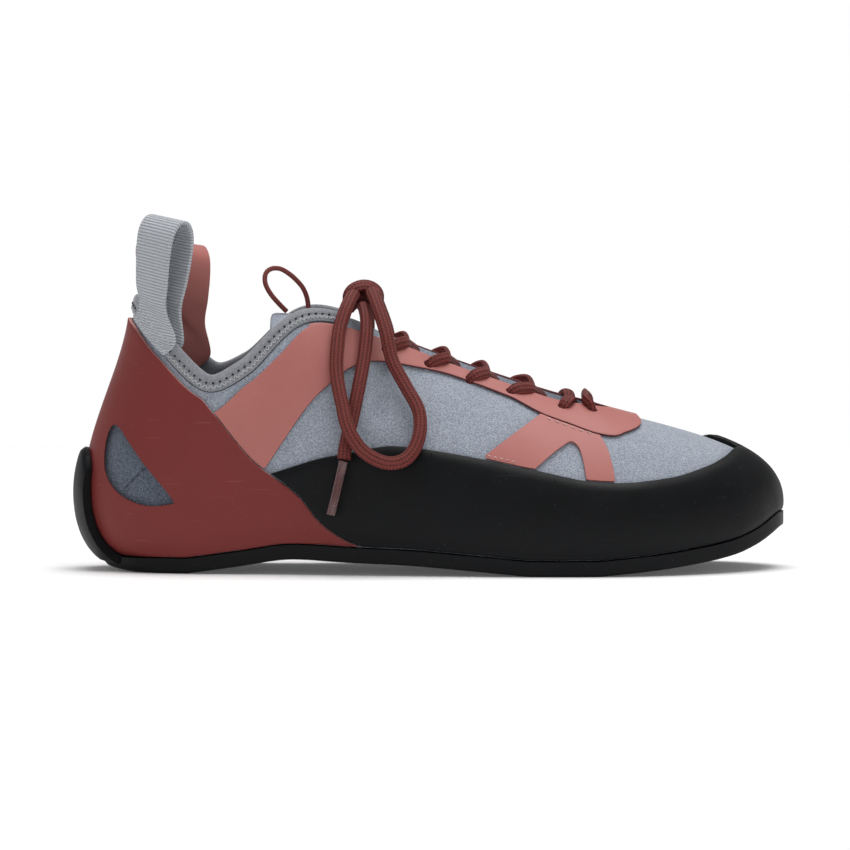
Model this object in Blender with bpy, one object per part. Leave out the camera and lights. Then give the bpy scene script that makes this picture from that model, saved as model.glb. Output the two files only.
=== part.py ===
"""A flat-lasted lace-up climbing shoe for the right foot, standing empty on its sole.

Metres, +Z up, +X to the toe, -Y the outer (lateral) side, +Y the inner (medial) side.
The origin lies on the floor under the middle of the heel's flat spot.

The last is a ring of ribs. A rib starts at the feather line, where wall and sole meet, swells to
the widest line, and rises to the mouth: the collar at the back, the throat under the laces.
Station 0 is the back of the heel, 12 the toe tip; stations 0 to 12 run along the outer side, and
12 to 24 back along the inner side. Every piece that lies on the shoe is cut from the same ribs.
"""

import math

import bmesh
import bpy
import numpy as np
from mathutils import Vector

# Driving sizes of the last, measured on the outside of the upper
LAST_LENGTH = 0.2540
BALL_WIDTH = 0.0860
INSTEP_HEIGHT = 0.0875
HEEL_HEIGHT = 0.0888
ARCH_RISE = 0.0055
TOE_SPRING = 0.0155

# Thicknesses
UPPER_WALL = 0.0020
SOLE_THICKNESS = 0.0054
HEEL_WRAP_THICKNESS = 0.0034
RAND_THICKNESS = 0.0020
SLING_THICKNESS = 0.0015
OVERLAY_THICKNESS = 0.0008
BINDING_THICKNESS = 0.0036
INSOLE_THICKNESS = 0.0020
TONGUE_THICKNESS = 0.0034
WEBBING_THICKNESS = 0.0013

# Sizes of single pieces
BINDING_HEIGHT = 0.0066
HEEL_WRAP_WIDTH = 0.0270
HEEL_WRAP_HEIGHT = 0.0440
HEEL_EDGE_ROUNDING = 0.0045
SOLE_FLUSH = 0.0006
SOLE_EDGE_RADIUS = 0.0013
TONGUE_UNDERLAP = 0.0100
EYELET_INSET = 0.0062
LACE_DIAMETER = 0.0048
LACE_THICKNESS = 0.0026
LACE_LIFT = 0.0005
AGLET_DIAMETER = 0.0039
AGLET_LENGTH = 0.0200
TONGUE_CORD_DIAMETER = 0.0018
OUTER_LOOP_HEIGHT = 0.0430
OUTER_LOOP_DEPTH = 0.0110
OUTER_LOOP_LEAN = 0.0055
INNER_LOOP_HEIGHT = 0.0370
INNER_LOOP_DEPTH = 0.0150
INNER_LOOP_LEAN = 0.0
GAP = 0.00035
WRAP_GAP = 0.0006
OVERLAY_GAP = 0.0005

# Where the floor meets the heel, as a share of the last's length from its back
HEEL_REST_ALONG = 0.106
SOLE_TOP = SOLE_THICKNESS + GAP

STATIONS = 24
TOE = 12
RIB_STEP = 0.5
UPPER_ROWS = (0.0, 0.05, 0.10, 0.15, 0.20, 0.25, 0.33, 0.41, 0.50, 0.58, 0.66, 0.75, 0.83, 0.92, 1.0)
HEEL_FLARE_STATION = 2.5
HEEL_WRAP_FLARE = 0.8
WRAP_COLUMNS = 9
OUTER_LOOP_STATIONS = (1.0, 2.1)
INNER_LOOP_STATIONS = (22.6, 21.35)
BELLY_SHARE = 0.25
LOWER_FULLNESS = 0.62

# One row a section, heel to toe. Lengths are shares: along and mouth_along of LAST_LENGTH; outer,
# inner, tuck and the mouth's outer and inner of BALL_WIDTH; belly of INSTEP_HEIGHT; rim_outer and
# rim_inner of the height that the last column names. slope is the wall's slope at the mouth.
SECTION_COLUMNS = (
    "along", "outer", "inner", "tuck", "belly", "mouth_along", "mouth_outer", "mouth_inner",
    "rim_outer", "rim_inner", "slope", "roll", "low_reach", "high_reach", "height",
)
SECTIONS = (
    (0.000, 0.000, 0.000, 0.175, 0.266, 0.066, 0.000, 0.000, 1.000, 1.000, 84, 1.0, 0.33, 0.32, "heel"),
    (0.020, 0.174, 0.169, 0.150, 0.255, 0.075, 0.134, 0.128, 0.963, 0.974, 84, 0.9, 0.33, 0.32, "heel"),
    (0.071, 0.297, 0.291, 0.080, 0.232, 0.110, 0.262, 0.250, 0.833, 0.878, 82, 0.5, 0.33, 0.33, "heel"),
    (0.157, 0.355, 0.343, 0.047, 0.206, 0.173, 0.337, 0.320, 0.690, 0.725, 82, 0.2, 0.33, 0.33, "instep"),
    (0.244, 0.372, 0.337, 0.035, 0.189, 0.236, 0.326, 0.308, 0.760, 0.775, 76, 0.0, 0.33, 0.33, "instep"),
    (0.339, 0.407, 0.320, 0.029, 0.171, 0.319, 0.267, 0.262, 0.971, 0.977, 58, 0.0, 0.33, 0.33, "instep"),
    (0.441, 0.448, 0.320, 0.026, 0.149, 0.425, 0.157, 0.169, 0.905, 0.915, 42, 0.0, 0.33, 0.34, "instep"),
    (0.543, 0.488, 0.355, 0.023, 0.126, 0.516, 0.110, 0.145, 0.803, 0.820, 34, 0.0, 0.32, 0.35, "instep"),
    (0.646, 0.517, 0.430, 0.023, 0.114, 0.594, 0.099, 0.140, 0.722, 0.740, 30, 0.0, 0.30, 0.36, "instep"),
    (0.748, 0.506, 0.483, 0.023, 0.109, 0.665, 0.093, 0.134, 0.650, 0.672, 26, 0.0, 0.29, 0.38, "instep"),
    (0.843, 0.424, 0.488, 0.023, 0.103, 0.713, 0.076, 0.122, 0.622, 0.634, 20, 0.0, 0.28, 0.42, "instep"),
    (0.950, 0.200, 0.370, 0.030, 0.072, 0.738, 0.035, 0.087, 0.609, 0.612, 17, 0.0, 0.27, 0.45, "instep"),
    (1.000, -0.105, 0.105, 0.035, 0.034, 0.746, -0.041, 0.041, 0.605, 0.605, 15, 0.0, 0.27, 0.47, "instep"),
)

# The sole's underside: rise as a share of ARCH_RISE, TOE_SPRING and the heel wrap's curl
ARCH_CURVE = ((0.145, 0.0), (0.22, 0.50), (0.30, 1.0), (0.38, 0.82), (0.46, 0.68), (0.55, 0.36), (0.635, 0.0))
TOE_CURVE = ((0.735, 0.0), (0.80, 0.10), (0.86, 0.215), (0.93, 0.42), (0.965, 0.64), (1.0, 1.0))
HEEL_CURL = ((0.0, 1.0), (0.02, 0.55), (0.045, 0.22), (0.07, 0.0))
HEEL_CURL_RISE = 0.0045

# Outlines seen from the side, as (share of LAST_LENGTH along, share of INSTEP_HEIGHT above the sole)
SLING_FRONT = ((0.108, 0.826), (0.137, 0.733), (0.166, 0.665), (0.185, 0.602), (0.260, 0.362),
               (0.321, 0.213), (0.382, 0.070), (0.400, 0.030))
CUTOUT_TOP = ((0.0350, 0.545), (0.0480, 0.527), (0.0860, 0.391), (0.1160, 0.287), (0.1287, 0.228))
CUTOUT_BOTTOM = ((0.0275, 0.360), (0.0330, 0.305), (0.0530, 0.254), (0.0917, 0.215), (0.1287, 0.228))
RAND_TOP_OUTER = ((0.230, 0.330), (0.265, 0.352), (0.362, 0.431), (0.445, 0.467), (0.566, 0.413),
                  (0.640, 0.367), (0.715, 0.322), (0.780, 0.314), (0.835, 0.330), (0.885, 0.366),
                  (0.916, 0.402), (0.934, 0.432))
RAND_TOP_INNER = ((0.230, 0.330), (0.265, 0.352), (0.362, 0.420), (0.445, 0.440), (0.566, 0.410),
                  (0.690, 0.380), (0.790, 0.395), (0.855, 0.440), (0.898, 0.480), (0.926, 0.476))
RAND_TOE_ALONG = 0.938
EYESTAY_LOW = ((0.240, 0.300), (0.259, 0.372), (0.280, 0.463), (0.316, 0.615), (0.351, 0.723),
               (0.380, 0.785), (0.415, 0.810), (0.457, 0.792), (0.525, 0.746), (0.607, 0.658),
               (0.652, 0.591), (0.694, 0.546), (0.737, 0.505), (0.757, 0.497), (0.774, 0.510))
EYESTAY_TOE_ALONG = 0.792
EYESTAY_HIGH = ((0.185, 0.602), (0.236, 0.724), (0.280, 0.838), (0.322, 0.955))
FORK_LEFT = ((0.567, 0.413), (0.609, 0.501), (0.652, 0.586))
FORK_RIGHT = ((0.737, 0.497), (0.746, 0.450), (0.753, 0.383), (0.757, 0.315))
FORK_ARCH = ((0.641, 0.367), (0.681, 0.457), (0.695, 0.477), (0.705, 0.457), (0.712, 0.397), (0.716, 0.322))
EYELETS_ALONG = (0.727, 0.684, 0.609, 0.551, 0.491, 0.430)

# The free upper part of the tongue, front to back: along is a share of LAST_LENGTH, half_width and
# drop of BALL_WIDTH, ridge of INSTEP_HEIGHT
TONGUE_FREE = (
    (0.386, 0.205, 0.982, 0.100),
    (0.330, 0.215, 1.000, 0.085),
    (0.264, 0.215, 1.012, 0.090),
)

# The webbing loop's line from its outer to its inner foot: outwards as a share of the loop's depth,
# up as a share of its height above the binding
LOOP_LINE = (
    (0.34, 0.22), (0.44, 0.46), (0.50, 0.68), (0.46, 0.86), (0.26, 0.97),
    (0.0, 1.0), (-0.26, 0.97), (-0.46, 0.86), (-0.50, 0.68), (-0.44, 0.46), (-0.34, 0.22),
)
LOOP_TOP_SLANT = 0.15

# Free cords as they hang, in metres from the part's origin
OUTER_LOOP_ROUTE = (
    (0.0707, -0.0082, 0.1008), (0.0701, -0.0130, 0.1002), (0.0683, -0.0205, 0.0965), (0.0660, -0.0258, 0.0895),
    (0.0651, -0.0300, 0.0822), (0.0648, -0.0335, 0.0750), (0.0655, -0.0365, 0.0690), (0.0668, -0.0395, 0.0628),
    (0.0693, -0.0435, 0.0532), (0.0747, -0.0437, 0.0453), (0.0831, -0.0430, 0.0411), (0.0904, -0.0425, 0.0429),
    (0.0946, -0.0395, 0.0502), (0.0946, -0.0352, 0.0593), (0.0898, -0.0313, 0.0683), (0.0850, -0.0285, 0.0774),
    (0.0826, -0.0255, 0.0877), (0.0795, -0.0190, 0.0968), (0.0777, -0.0125, 0.1012), (0.0777, -0.0082, 0.1018),
)
OUTER_END_ROUTE = (
    (0.0743, -0.0082, 0.0964), (0.0747, -0.0130, 0.0960), (0.0755, -0.0185, 0.0928), (0.0757, -0.0225, 0.0885),
    (0.0753, -0.0258, 0.0834), (0.0743, -0.0298, 0.0760), (0.0729, -0.0335, 0.0683), (0.0716, -0.0357, 0.0620),
    (0.0704, -0.0372, 0.0562), (0.0690, -0.0388, 0.0508), (0.0680, -0.0402, 0.0459), (0.0676, -0.0410, 0.0423),
)
OUTER_AGLET_ROUTE = ((0.0675, -0.0411, 0.0416), (0.0653, -0.0415, 0.0322), (0.0629, -0.0415, 0.0223))
INNER_LOOP_ROUTE = (
    (0.0707, 0.0082, 0.1008), (0.0701, 0.0130, 0.1002), (0.0681, 0.0205, 0.0965), (0.0658, 0.0260, 0.0895),
    (0.0650, 0.0296, 0.0822), (0.0650, 0.0320, 0.0750), (0.0658, 0.0342, 0.0680), (0.0674, 0.0361, 0.0610),
    (0.0702, 0.0382, 0.0540), (0.0750, 0.0386, 0.0478), (0.0815, 0.0380, 0.0450), (0.0876, 0.0370, 0.0470),
    (0.0912, 0.0355, 0.0532), (0.0914, 0.0335, 0.0610), (0.0884, 0.0310, 0.0690), (0.0848, 0.0290, 0.0774),
    (0.0826, 0.0260, 0.0877), (0.0795, 0.0190, 0.0968), (0.0777, 0.0125, 0.1012), (0.0777, 0.0082, 0.1018),
)
INNER_END_ROUTE = (
    (0.0743, 0.0082, 0.0964), (0.0747, 0.0130, 0.0960), (0.0755, 0.0186, 0.0928), (0.0757, 0.0226, 0.0885),
    (0.0753, 0.0258, 0.0834), (0.0745, 0.0286, 0.0760), (0.0733, 0.0304, 0.0690), (0.0721, 0.0315, 0.0620),
    (0.0709, 0.0323, 0.0550), (0.0697, 0.0330, 0.0485),
)
INNER_AGLET_ROUTE = ((0.0696, 0.0331, 0.0478), (0.0682, 0.0336, 0.0385), (0.0669, 0.0341, 0.0285))
TONGUE_CORD_ROUTE = (
    (0.0460, -0.0030, 0.0947), (0.0432, -0.0042, 0.0976), (0.0402, -0.0050, 0.1012), (0.0383, -0.0050, 0.1050),
    (0.0384, -0.0042, 0.1085), (0.0404, -0.0030, 0.1103), (0.0436, -0.0015, 0.1103), (0.0468, 0.0000, 0.1085),
    (0.0496, 0.0012, 0.1060), (0.0520, 0.0022, 0.1030), (0.0535, 0.0028, 0.0990), (0.0540, 0.0030, 0.0940),
)
# The knot's middle and its half sizes: along, across, up
KNOT_PLACE = (0.0742, 0.0, 0.0998)
KNOT_SIZE = (0.0056, 0.0076, 0.0046)


def smooth_through(points, at):
    """A monotone cubic through (place, value) points, flat beyond both ends."""
    x = np.array([p[0] for p in points], float)
    y = np.array([p[1] for p in points], float)
    step = np.diff(x)
    rate = np.diff(y) / step
    slope = np.zeros(len(x))
    slope[0], slope[-1] = rate[0], rate[-1]
    for i in range(1, len(x) - 1):
        if rate[i - 1] * rate[i] > 0:
            a, b = 2 * step[i] + step[i - 1], step[i] + 2 * step[i - 1]
            slope[i] = (a + b) / (a / rate[i - 1] + b / rate[i])
    at = np.asarray(at, float)
    i = np.clip(np.searchsorted(x, at) - 1, 0, len(x) - 2)
    s = np.clip((at - x[i]) / step[i], 0, 1)
    return (
        y[i] * (1 + 2 * s) * (1 - s) ** 2
        + y[i + 1] * (3 - 2 * s) * s ** 2
        + step[i] * (slope[i] * s * (1 - s) ** 2 + slope[i + 1] * (s - 1) * s ** 2)
    )


def sole_rise(along):
    """Height of the sole's underside above the floor: flat at heel and forefoot, up at arch and toe."""
    share = np.asarray(along, float) / LAST_LENGTH
    rise = ARCH_RISE * smooth_through(ARCH_CURVE, share) + TOE_SPRING * smooth_through(TOE_CURVE, share)
    return np.where(rise < 1e-7, 0.0, rise)


def heel_curl(along):
    share = np.asarray(along, float) / LAST_LENGTH
    return HEEL_CURL_RISE * np.where(share < HEEL_CURL[-1][0], smooth_through(HEEL_CURL, share), 0.0)


def sole_top(along):
    return sole_rise(along) + SOLE_TOP


def last_table():
    """The sections as a closed ring of 24 stations, in metres."""
    heights = {"heel": HEEL_HEIGHT, "instep": INSTEP_HEIGHT}

    def station(row, side):
        cell = dict(zip(SECTION_COLUMNS, row))
        name = "outer" if side < 0 else "inner"
        return (
            cell["along"] * LAST_LENGTH,
            side * cell[name] * BALL_WIDTH,
            cell["belly"] * INSTEP_HEIGHT,
            cell["tuck"] * BALL_WIDTH,
            cell["mouth_along"] * LAST_LENGTH,
            side * cell["mouth_" + name] * BALL_WIDTH,
            SOLE_TOP + cell["rim_" + name] * heights[cell["height"]],
            math.radians(cell["slope"]),
            cell["roll"],
            cell["low_reach"],
            cell["high_reach"],
        )

    outer = [station(row, -1) for row in SECTIONS]
    inner = [station(row, 1) for row in SECTIONS[1:-1]]
    return np.array(outer + inner[::-1])


LAST = last_table()


def ring(t):
    """The table's columns at station t, through a closed cubic that passes through each row."""
    t = np.asarray(t, float)
    i = np.floor(t).astype(int)
    s = (t - i)[..., None]
    a, b, c, d = (LAST[(i + k) % STATIONS] for k in (-1, 0, 1, 2))
    return 0.5 * (2 * b + (c - a) * s + (2 * a - 5 * b + 4 * c - d) * s ** 2 + (3 * b - a - 3 * c + d) * s ** 3)


def bezier(p, q, r, w, s):
    s = s[..., None]
    return p * (1 - s) ** 3 + 3 * q * s * (1 - s) ** 2 + 3 * r * s ** 2 * (1 - s) + w * s ** 3


def outward(t):
    """The widest line's horizontal normal at station t."""
    run = ring(np.asarray(t, float) + 1e-3)[..., :2] - ring(np.asarray(t, float) - 1e-3)[..., :2]
    run /= np.linalg.norm(run, axis=-1, keepdims=True)
    return np.stack([run[..., 1], -run[..., 0], np.zeros(run.shape[:-1])], -1)


def skin(t, v):
    """The upper's outer surface: station t, and v from 0 at the feather line to 1 at the mouth."""
    t, v = np.broadcast_arrays(np.asarray(t, float), np.asarray(v, float))
    cell = ring(t)
    x, y, belly, tuck, mouth_x, mouth_y, mouth_z, slope, roll, low_reach, high_reach = (
        cell[..., i] for i in range(11)
    )
    out, up = outward(t), np.array([0.0, 0.0, 1.0])
    widest = np.stack([x, y, sole_top(x) + belly], -1)
    feather = widest - out * tuck[..., None]
    feather[..., 2] = sole_top(feather[..., 0])
    rise = (widest - feather)[..., 2:]
    roll = roll[..., None]
    under = LOWER_FULLNESS * tuck[..., None] * out
    beside = 0.35 * tuck[..., None] * out + 0.4 * rise * up
    low_1 = feather + roll * under + (1 - roll) * beside
    low_2 = widest - LOWER_FULLNESS * rise * up
    mouth = np.stack([mouth_x, mouth_y, mouth_z], -1)
    reach = np.linalg.norm(mouth - widest, axis=-1, keepdims=True)
    side = widest - mouth + 0.3 * reach * out
    side[..., 2] = 0
    side /= np.linalg.norm(side, axis=-1, keepdims=True)
    high_1 = widest + low_reach[..., None] * reach * up
    fall = np.cos(slope)[..., None] * side - np.sin(slope)[..., None] * up
    high_2 = mouth + high_reach[..., None] * reach * fall
    below = bezier(feather, low_1, low_2, widest, np.clip(v / BELLY_SHARE, 0, 1))
    above = bezier(widest, high_1, high_2, mouth, np.clip((v - BELLY_SHARE) / (1 - BELLY_SHARE), 0, 1))
    return np.where((v < BELLY_SHARE)[..., None], below, above)


def slopes(t, v):
    """The skin's steps along the ring and up the rib, one sided at feather and mouth."""
    t, v = np.broadcast_arrays(np.asarray(t, float), np.asarray(v, float))
    e = 2e-3
    hi, lo = np.minimum(v + e, 1), np.maximum(v - e, 0)
    along = (skin(t + e, v) - skin(t - e, v)) / (2 * e)
    up = (skin(t, hi) - skin(t, lo)) / (hi - lo)[..., None]
    return along, up


def normal(t, v):
    along, up = slopes(t, v)
    n = np.cross(along, up)
    return n / np.linalg.norm(n, axis=-1, keepdims=True)


def offset(t, v, distance):
    return skin(t, v) + normal(t, v) * np.asarray(distance, float)[..., None]


def step_up(t, v, distance):
    """v moved up the rib by a real distance."""
    return v + distance / np.linalg.norm(slopes(t, v)[1], axis=-1)


def find(side, places):
    """Station and v of the points that lie at these (along, height) places, seen from one side."""
    places = np.atleast_2d(np.asarray(places, float))
    target = np.stack([places[:, 0] * LAST_LENGTH, SOLE_TOP + places[:, 1] * INSTEP_HEIGHT], -1)
    first = 0.0 if side < 0 else float(TOE)
    tt, vv = np.meshgrid(np.linspace(first + 0.1, first + TOE - 0.1, 90), np.linspace(0, 1, 41), indexing="ij")
    seen = skin(tt, vv)[..., [0, 2]]
    t, v = np.empty(len(target)), np.empty(len(target))
    for i, goal in enumerate(target):
        nearest = np.unravel_index(np.argmin(((seen - goal) ** 2).sum(-1)), tt.shape)
        t[i], v[i] = tt[nearest], vv[nearest]
    for _ in range(12):
        off = target - skin(t, v)[:, [0, 2]]
        along, up = slopes(t, v)
        a, b, c, d = along[:, 0], up[:, 0], along[:, 2], up[:, 2]
        scale = a * d - b * c
        scale = np.where(np.abs(scale) < 1e-9, 1e-9, scale)
        t = t + np.clip((d * off[:, 0] - b * off[:, 1]) / scale, -0.3, 0.3)
        v = np.clip(v + np.clip((a * off[:, 1] - c * off[:, 0]) / scale, -0.1, 0.1), 0, 1)
    return t, v


def edge_line(side, places, extra=()):
    """An outline as a function of the station: v(t)."""
    t, v = find(side, places)
    points = sorted(list(zip(t, v)) + list(extra))
    return lambda at: smooth_through(points, at)


def v_at_along(t, along):
    """v where the rib at station t passes this share of the length, on the way back from the toe."""
    v = np.linspace(BELLY_SHARE, 1, 200)
    x = skin(np.full(200, float(t)), v)[:, 0]
    return float(np.interp(-along * LAST_LENGTH, -x, v))


def clear_of_sole(t, distance):
    """The lowest v at which a layer this far out stands on the sole's top."""
    t = np.asarray(t, float)
    v = np.linspace(0, BELLY_SHARE, 60)
    tt, vv = np.meshgrid(t, v, indexing="ij")
    p = offset(tt, vv, np.broadcast_to(np.reshape(distance, (-1, 1)), tt.shape))
    free = p[..., 2] >= sole_top(p[..., 0])
    return v[np.argmax(free, axis=1)]


def material(name, hex_colour, roughness):
    made = bpy.data.materials.get(name)
    if made is None:
        made = bpy.data.materials.new(name)
        made.use_nodes = True
        shader = made.node_tree.nodes["Principled BSDF"]
        srgb = [int(hex_colour[i:i + 2], 16) / 255 for i in (0, 2, 4)]
        linear = [c / 12.92 if c <= 0.04045 else ((c + 0.055) / 1.055) ** 2.4 for c in srgb]
        shader.inputs["Base Color"].default_value = (*linear, 1)
        shader.inputs["Roughness"].default_value = roughness
        made.diffuse_color = (*linear, 1)
    return made


def place(points):
    """Last coordinates to the part's own frame."""
    moved = np.array(points, float)
    moved[..., 0] -= HEEL_REST_ALONG * LAST_LENGTH
    return moved


def finish_mesh(name, mesh, look):
    """Merges the seams, points the faces outwards and makes the object."""
    bmesh.ops.remove_doubles(mesh, verts=mesh.verts, dist=2e-6)
    bmesh.ops.dissolve_degenerate(mesh, dist=1e-6, edges=mesh.edges)
    bmesh.ops.recalc_face_normals(mesh, faces=mesh.faces)
    data = bpy.data.meshes.new(name)
    mesh.to_mesh(data)
    mesh.free()
    data.materials.append(look)
    data.shade_smooth()
    data.set_sharp_from_angle(angle=math.radians(40))
    made = bpy.data.objects.new(name, data)
    bpy.context.scene.collection.objects.link(made)
    return made


def add_grid(mesh, points, active=None, wrap=False):
    """Faces over a grid of points, indexed [across][up]; active says which cells are there."""
    rows = [[mesh.verts.new(p) for p in place(column)] for column in points]
    last = len(rows) if wrap else len(rows) - 1
    for i in range(last):
        for j in range(len(rows[0]) - 1):
            if active is None or active[i][j]:
                k = (i + 1) % len(rows)
                mesh.faces.new((rows[i][j], rows[k][j], rows[k][j + 1], rows[i][j + 1]))


def ribs_between(first, last, *extra):
    """The upper's own stations from first to last, so that a layer follows the same flats."""
    inner = np.arange(math.ceil(first / RIB_STEP + 0.2), last / RIB_STEP - 0.2) * RIB_STEP
    inner = [t for t in inner if all(abs(t - e) > 0.2 * RIB_STEP for e in extra)]
    return np.array(sorted([first, *inner, *extra, last]))


def rows_between(low, high, count):
    """Rows of v from low(t) to high(t), indexed [station][row]."""
    return low[:, None] + (high - low)[:, None] * np.linspace(0, 1, count)[None, :]


def closed_wall(name, faces, outer, inner, look):
    """A closed wall between two layers of like points, with a rim along every free edge."""
    mesh = bmesh.new()
    outer = [mesh.verts.new(p) for p in place(outer)]
    inner = [mesh.verts.new(p) for p in place(inner)]
    used = {}
    for face in faces:
        mesh.faces.new([outer[i] for i in face])
        mesh.faces.new([inner[i] for i in reversed(face)])
        for a, b in zip(face, face[1:] + face[:1]):
            used[frozenset((a, b))] = None if frozenset((a, b)) in used else (a, b)
    for pair in filter(None, used.values()):
        a, b = pair
        mesh.faces.new((outer[b], outer[a], inner[a], inner[b]))
    return finish_mesh(name, mesh, look)


def shell(name, outer, inner, look):
    """A closed wall between two like grids of points."""
    columns, rows = len(outer), len(outer[0])
    faces = [
        (i * rows + j, (i + 1) * rows + j, (i + 1) * rows + j + 1, i * rows + j + 1)
        for i in range(columns - 1) for j in range(rows - 1)
    ]
    return closed_wall(name, faces, np.reshape(outer, (-1, 3)), np.reshape(inner, (-1, 3)), look)


def column(low, high, *extra):
    """One rib of a layer: its two edges, and between them the upper's own rows."""
    ends = [low, *extra, high]
    clear = 0.3 * UPPER_ROWS[1]
    rows = [v for v in UPPER_ROWS if low < v < high and all(abs(v - e) > clear for e in ends)]
    return sorted(set(ends + rows))


def zip_columns(t_a, rows_a, t_b, rows_b):
    """Triangles between two ribs, as (station, v) corners; rows that both have are joined."""
    faces, i, j = [], 0, 0
    last_a, last_b = len(rows_a) - 1, len(rows_b) - 1
    while i < last_a or j < last_b:
        both = i < last_a and j < last_b
        level = both and (abs(rows_a[i + 1] - rows_b[j + 1]) < 1e-9 or (i + 1, j + 1) == (last_a, last_b))
        here = [(t_a, rows_a[i]), (t_b, rows_b[j])]
        if level:
            i, j = i + 1, j + 1
            faces.append(tuple(here + [(t_b, rows_b[j])]))
            faces.append((here[0], (t_b, rows_b[j]), (t_a, rows_a[i])))
        elif both and rows_a[i + 1] < rows_b[j + 1] or j == last_b:
            i += 1
            faces.append(tuple(here + [(t_a, rows_a[i])]))
        else:
            j += 1
            faces.append(tuple(here + [(t_b, rows_b[j])]))
    return faces


def strip(stations, columns):
    """Faces of a run of neighbouring ribs."""
    faces = []
    for i in range(len(stations) - 1):
        faces += zip_columns(stations[i], columns[i], stations[i + 1], columns[i + 1])
    return faces


def layer(name, faces, near, far, look, thin_edge=None):
    """A layer on the upper between two distances; thin_edge(t) is an edge ground to half thickness."""
    corners = sorted({(round(float(t) % STATIONS, 6), round(float(v), 6)) for face in faces for t, v in face})
    number = {corner: i for i, corner in enumerate(corners)}
    indexed = [
        tuple(number[(round(float(t) % STATIONS, 6), round(float(v), 6))] for t, v in face) for face in faces
    ]
    t, v = np.array(corners).T
    far = np.full(len(t), far)
    if thin_edge is not None:
        far -= np.where(np.abs(v - thin_edge(t)) < 1e-5, 0.45 * (far - near), 0)
    return closed_wall(name, indexed, offset(t, v, far), offset(t, v, np.full(len(t), near)), look)


def grey_suede():
    return material("grey_suede", "8F959F", 0.95)


def black_rubber():
    return material("black_rubber", "1E1E20", 0.55)


def maroon_rubber():
    return material("maroon_rubber", "7B3837", 0.6)


def coral_microfibre():
    return material("coral_microfibre", "B97A74", 0.55)


def grey_knit():
    return material("grey_knit", "87878A", 0.9)


def grey_webbing():
    return material("grey_webbing", "A0A4AA", 0.8)


def lace_braid():
    return material("lace_braid", "6E2F29", 0.8)


def make_upper():
    t = np.arange(0, STATIONS + RIB_STEP / 2, RIB_STEP)
    faces = strip(t, [UPPER_ROWS] * len(t))
    return layer("upper", faces, -UPPER_WALL, 0.0, grey_suede())


def plate_ribs(first, last):
    """The ribs of a flat sheet: twice as close round the toe, where it springs up."""
    t = np.arange(first, last + RIB_STEP / 2, RIB_STEP)
    toe = [s + RIB_STEP / 2 for s in t if abs(s + RIB_STEP / 2 - TOE) < 2]
    return np.array(sorted([*t, *toe]))


def ladder(mesh, ring_points, height):
    """Fills a closed ring, outer side first, with rungs from its outer to its inner side."""
    count = len(ring_points)
    half = count // 2
    columns = []
    for i in range(half + 1):
        a, b = ring_points[i], ring_points[-i % count]
        share = np.linspace(0, 1, 5)[:, None]
        rung = a[None, :] * (1 - share) + b[None, :] * share
        rung[1:-1, 2] = height(rung[1:-1, 0])
        columns.append(rung)
    add_grid(mesh, np.array(columns))


def wrap_v(t, height):
    """v at which the rib at station t reaches this height."""
    v = np.linspace(0, 1, 300)
    z = skin(np.full(300, t % STATIONS), v)[:, 2]
    return float(np.interp(height, z, v))


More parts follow.
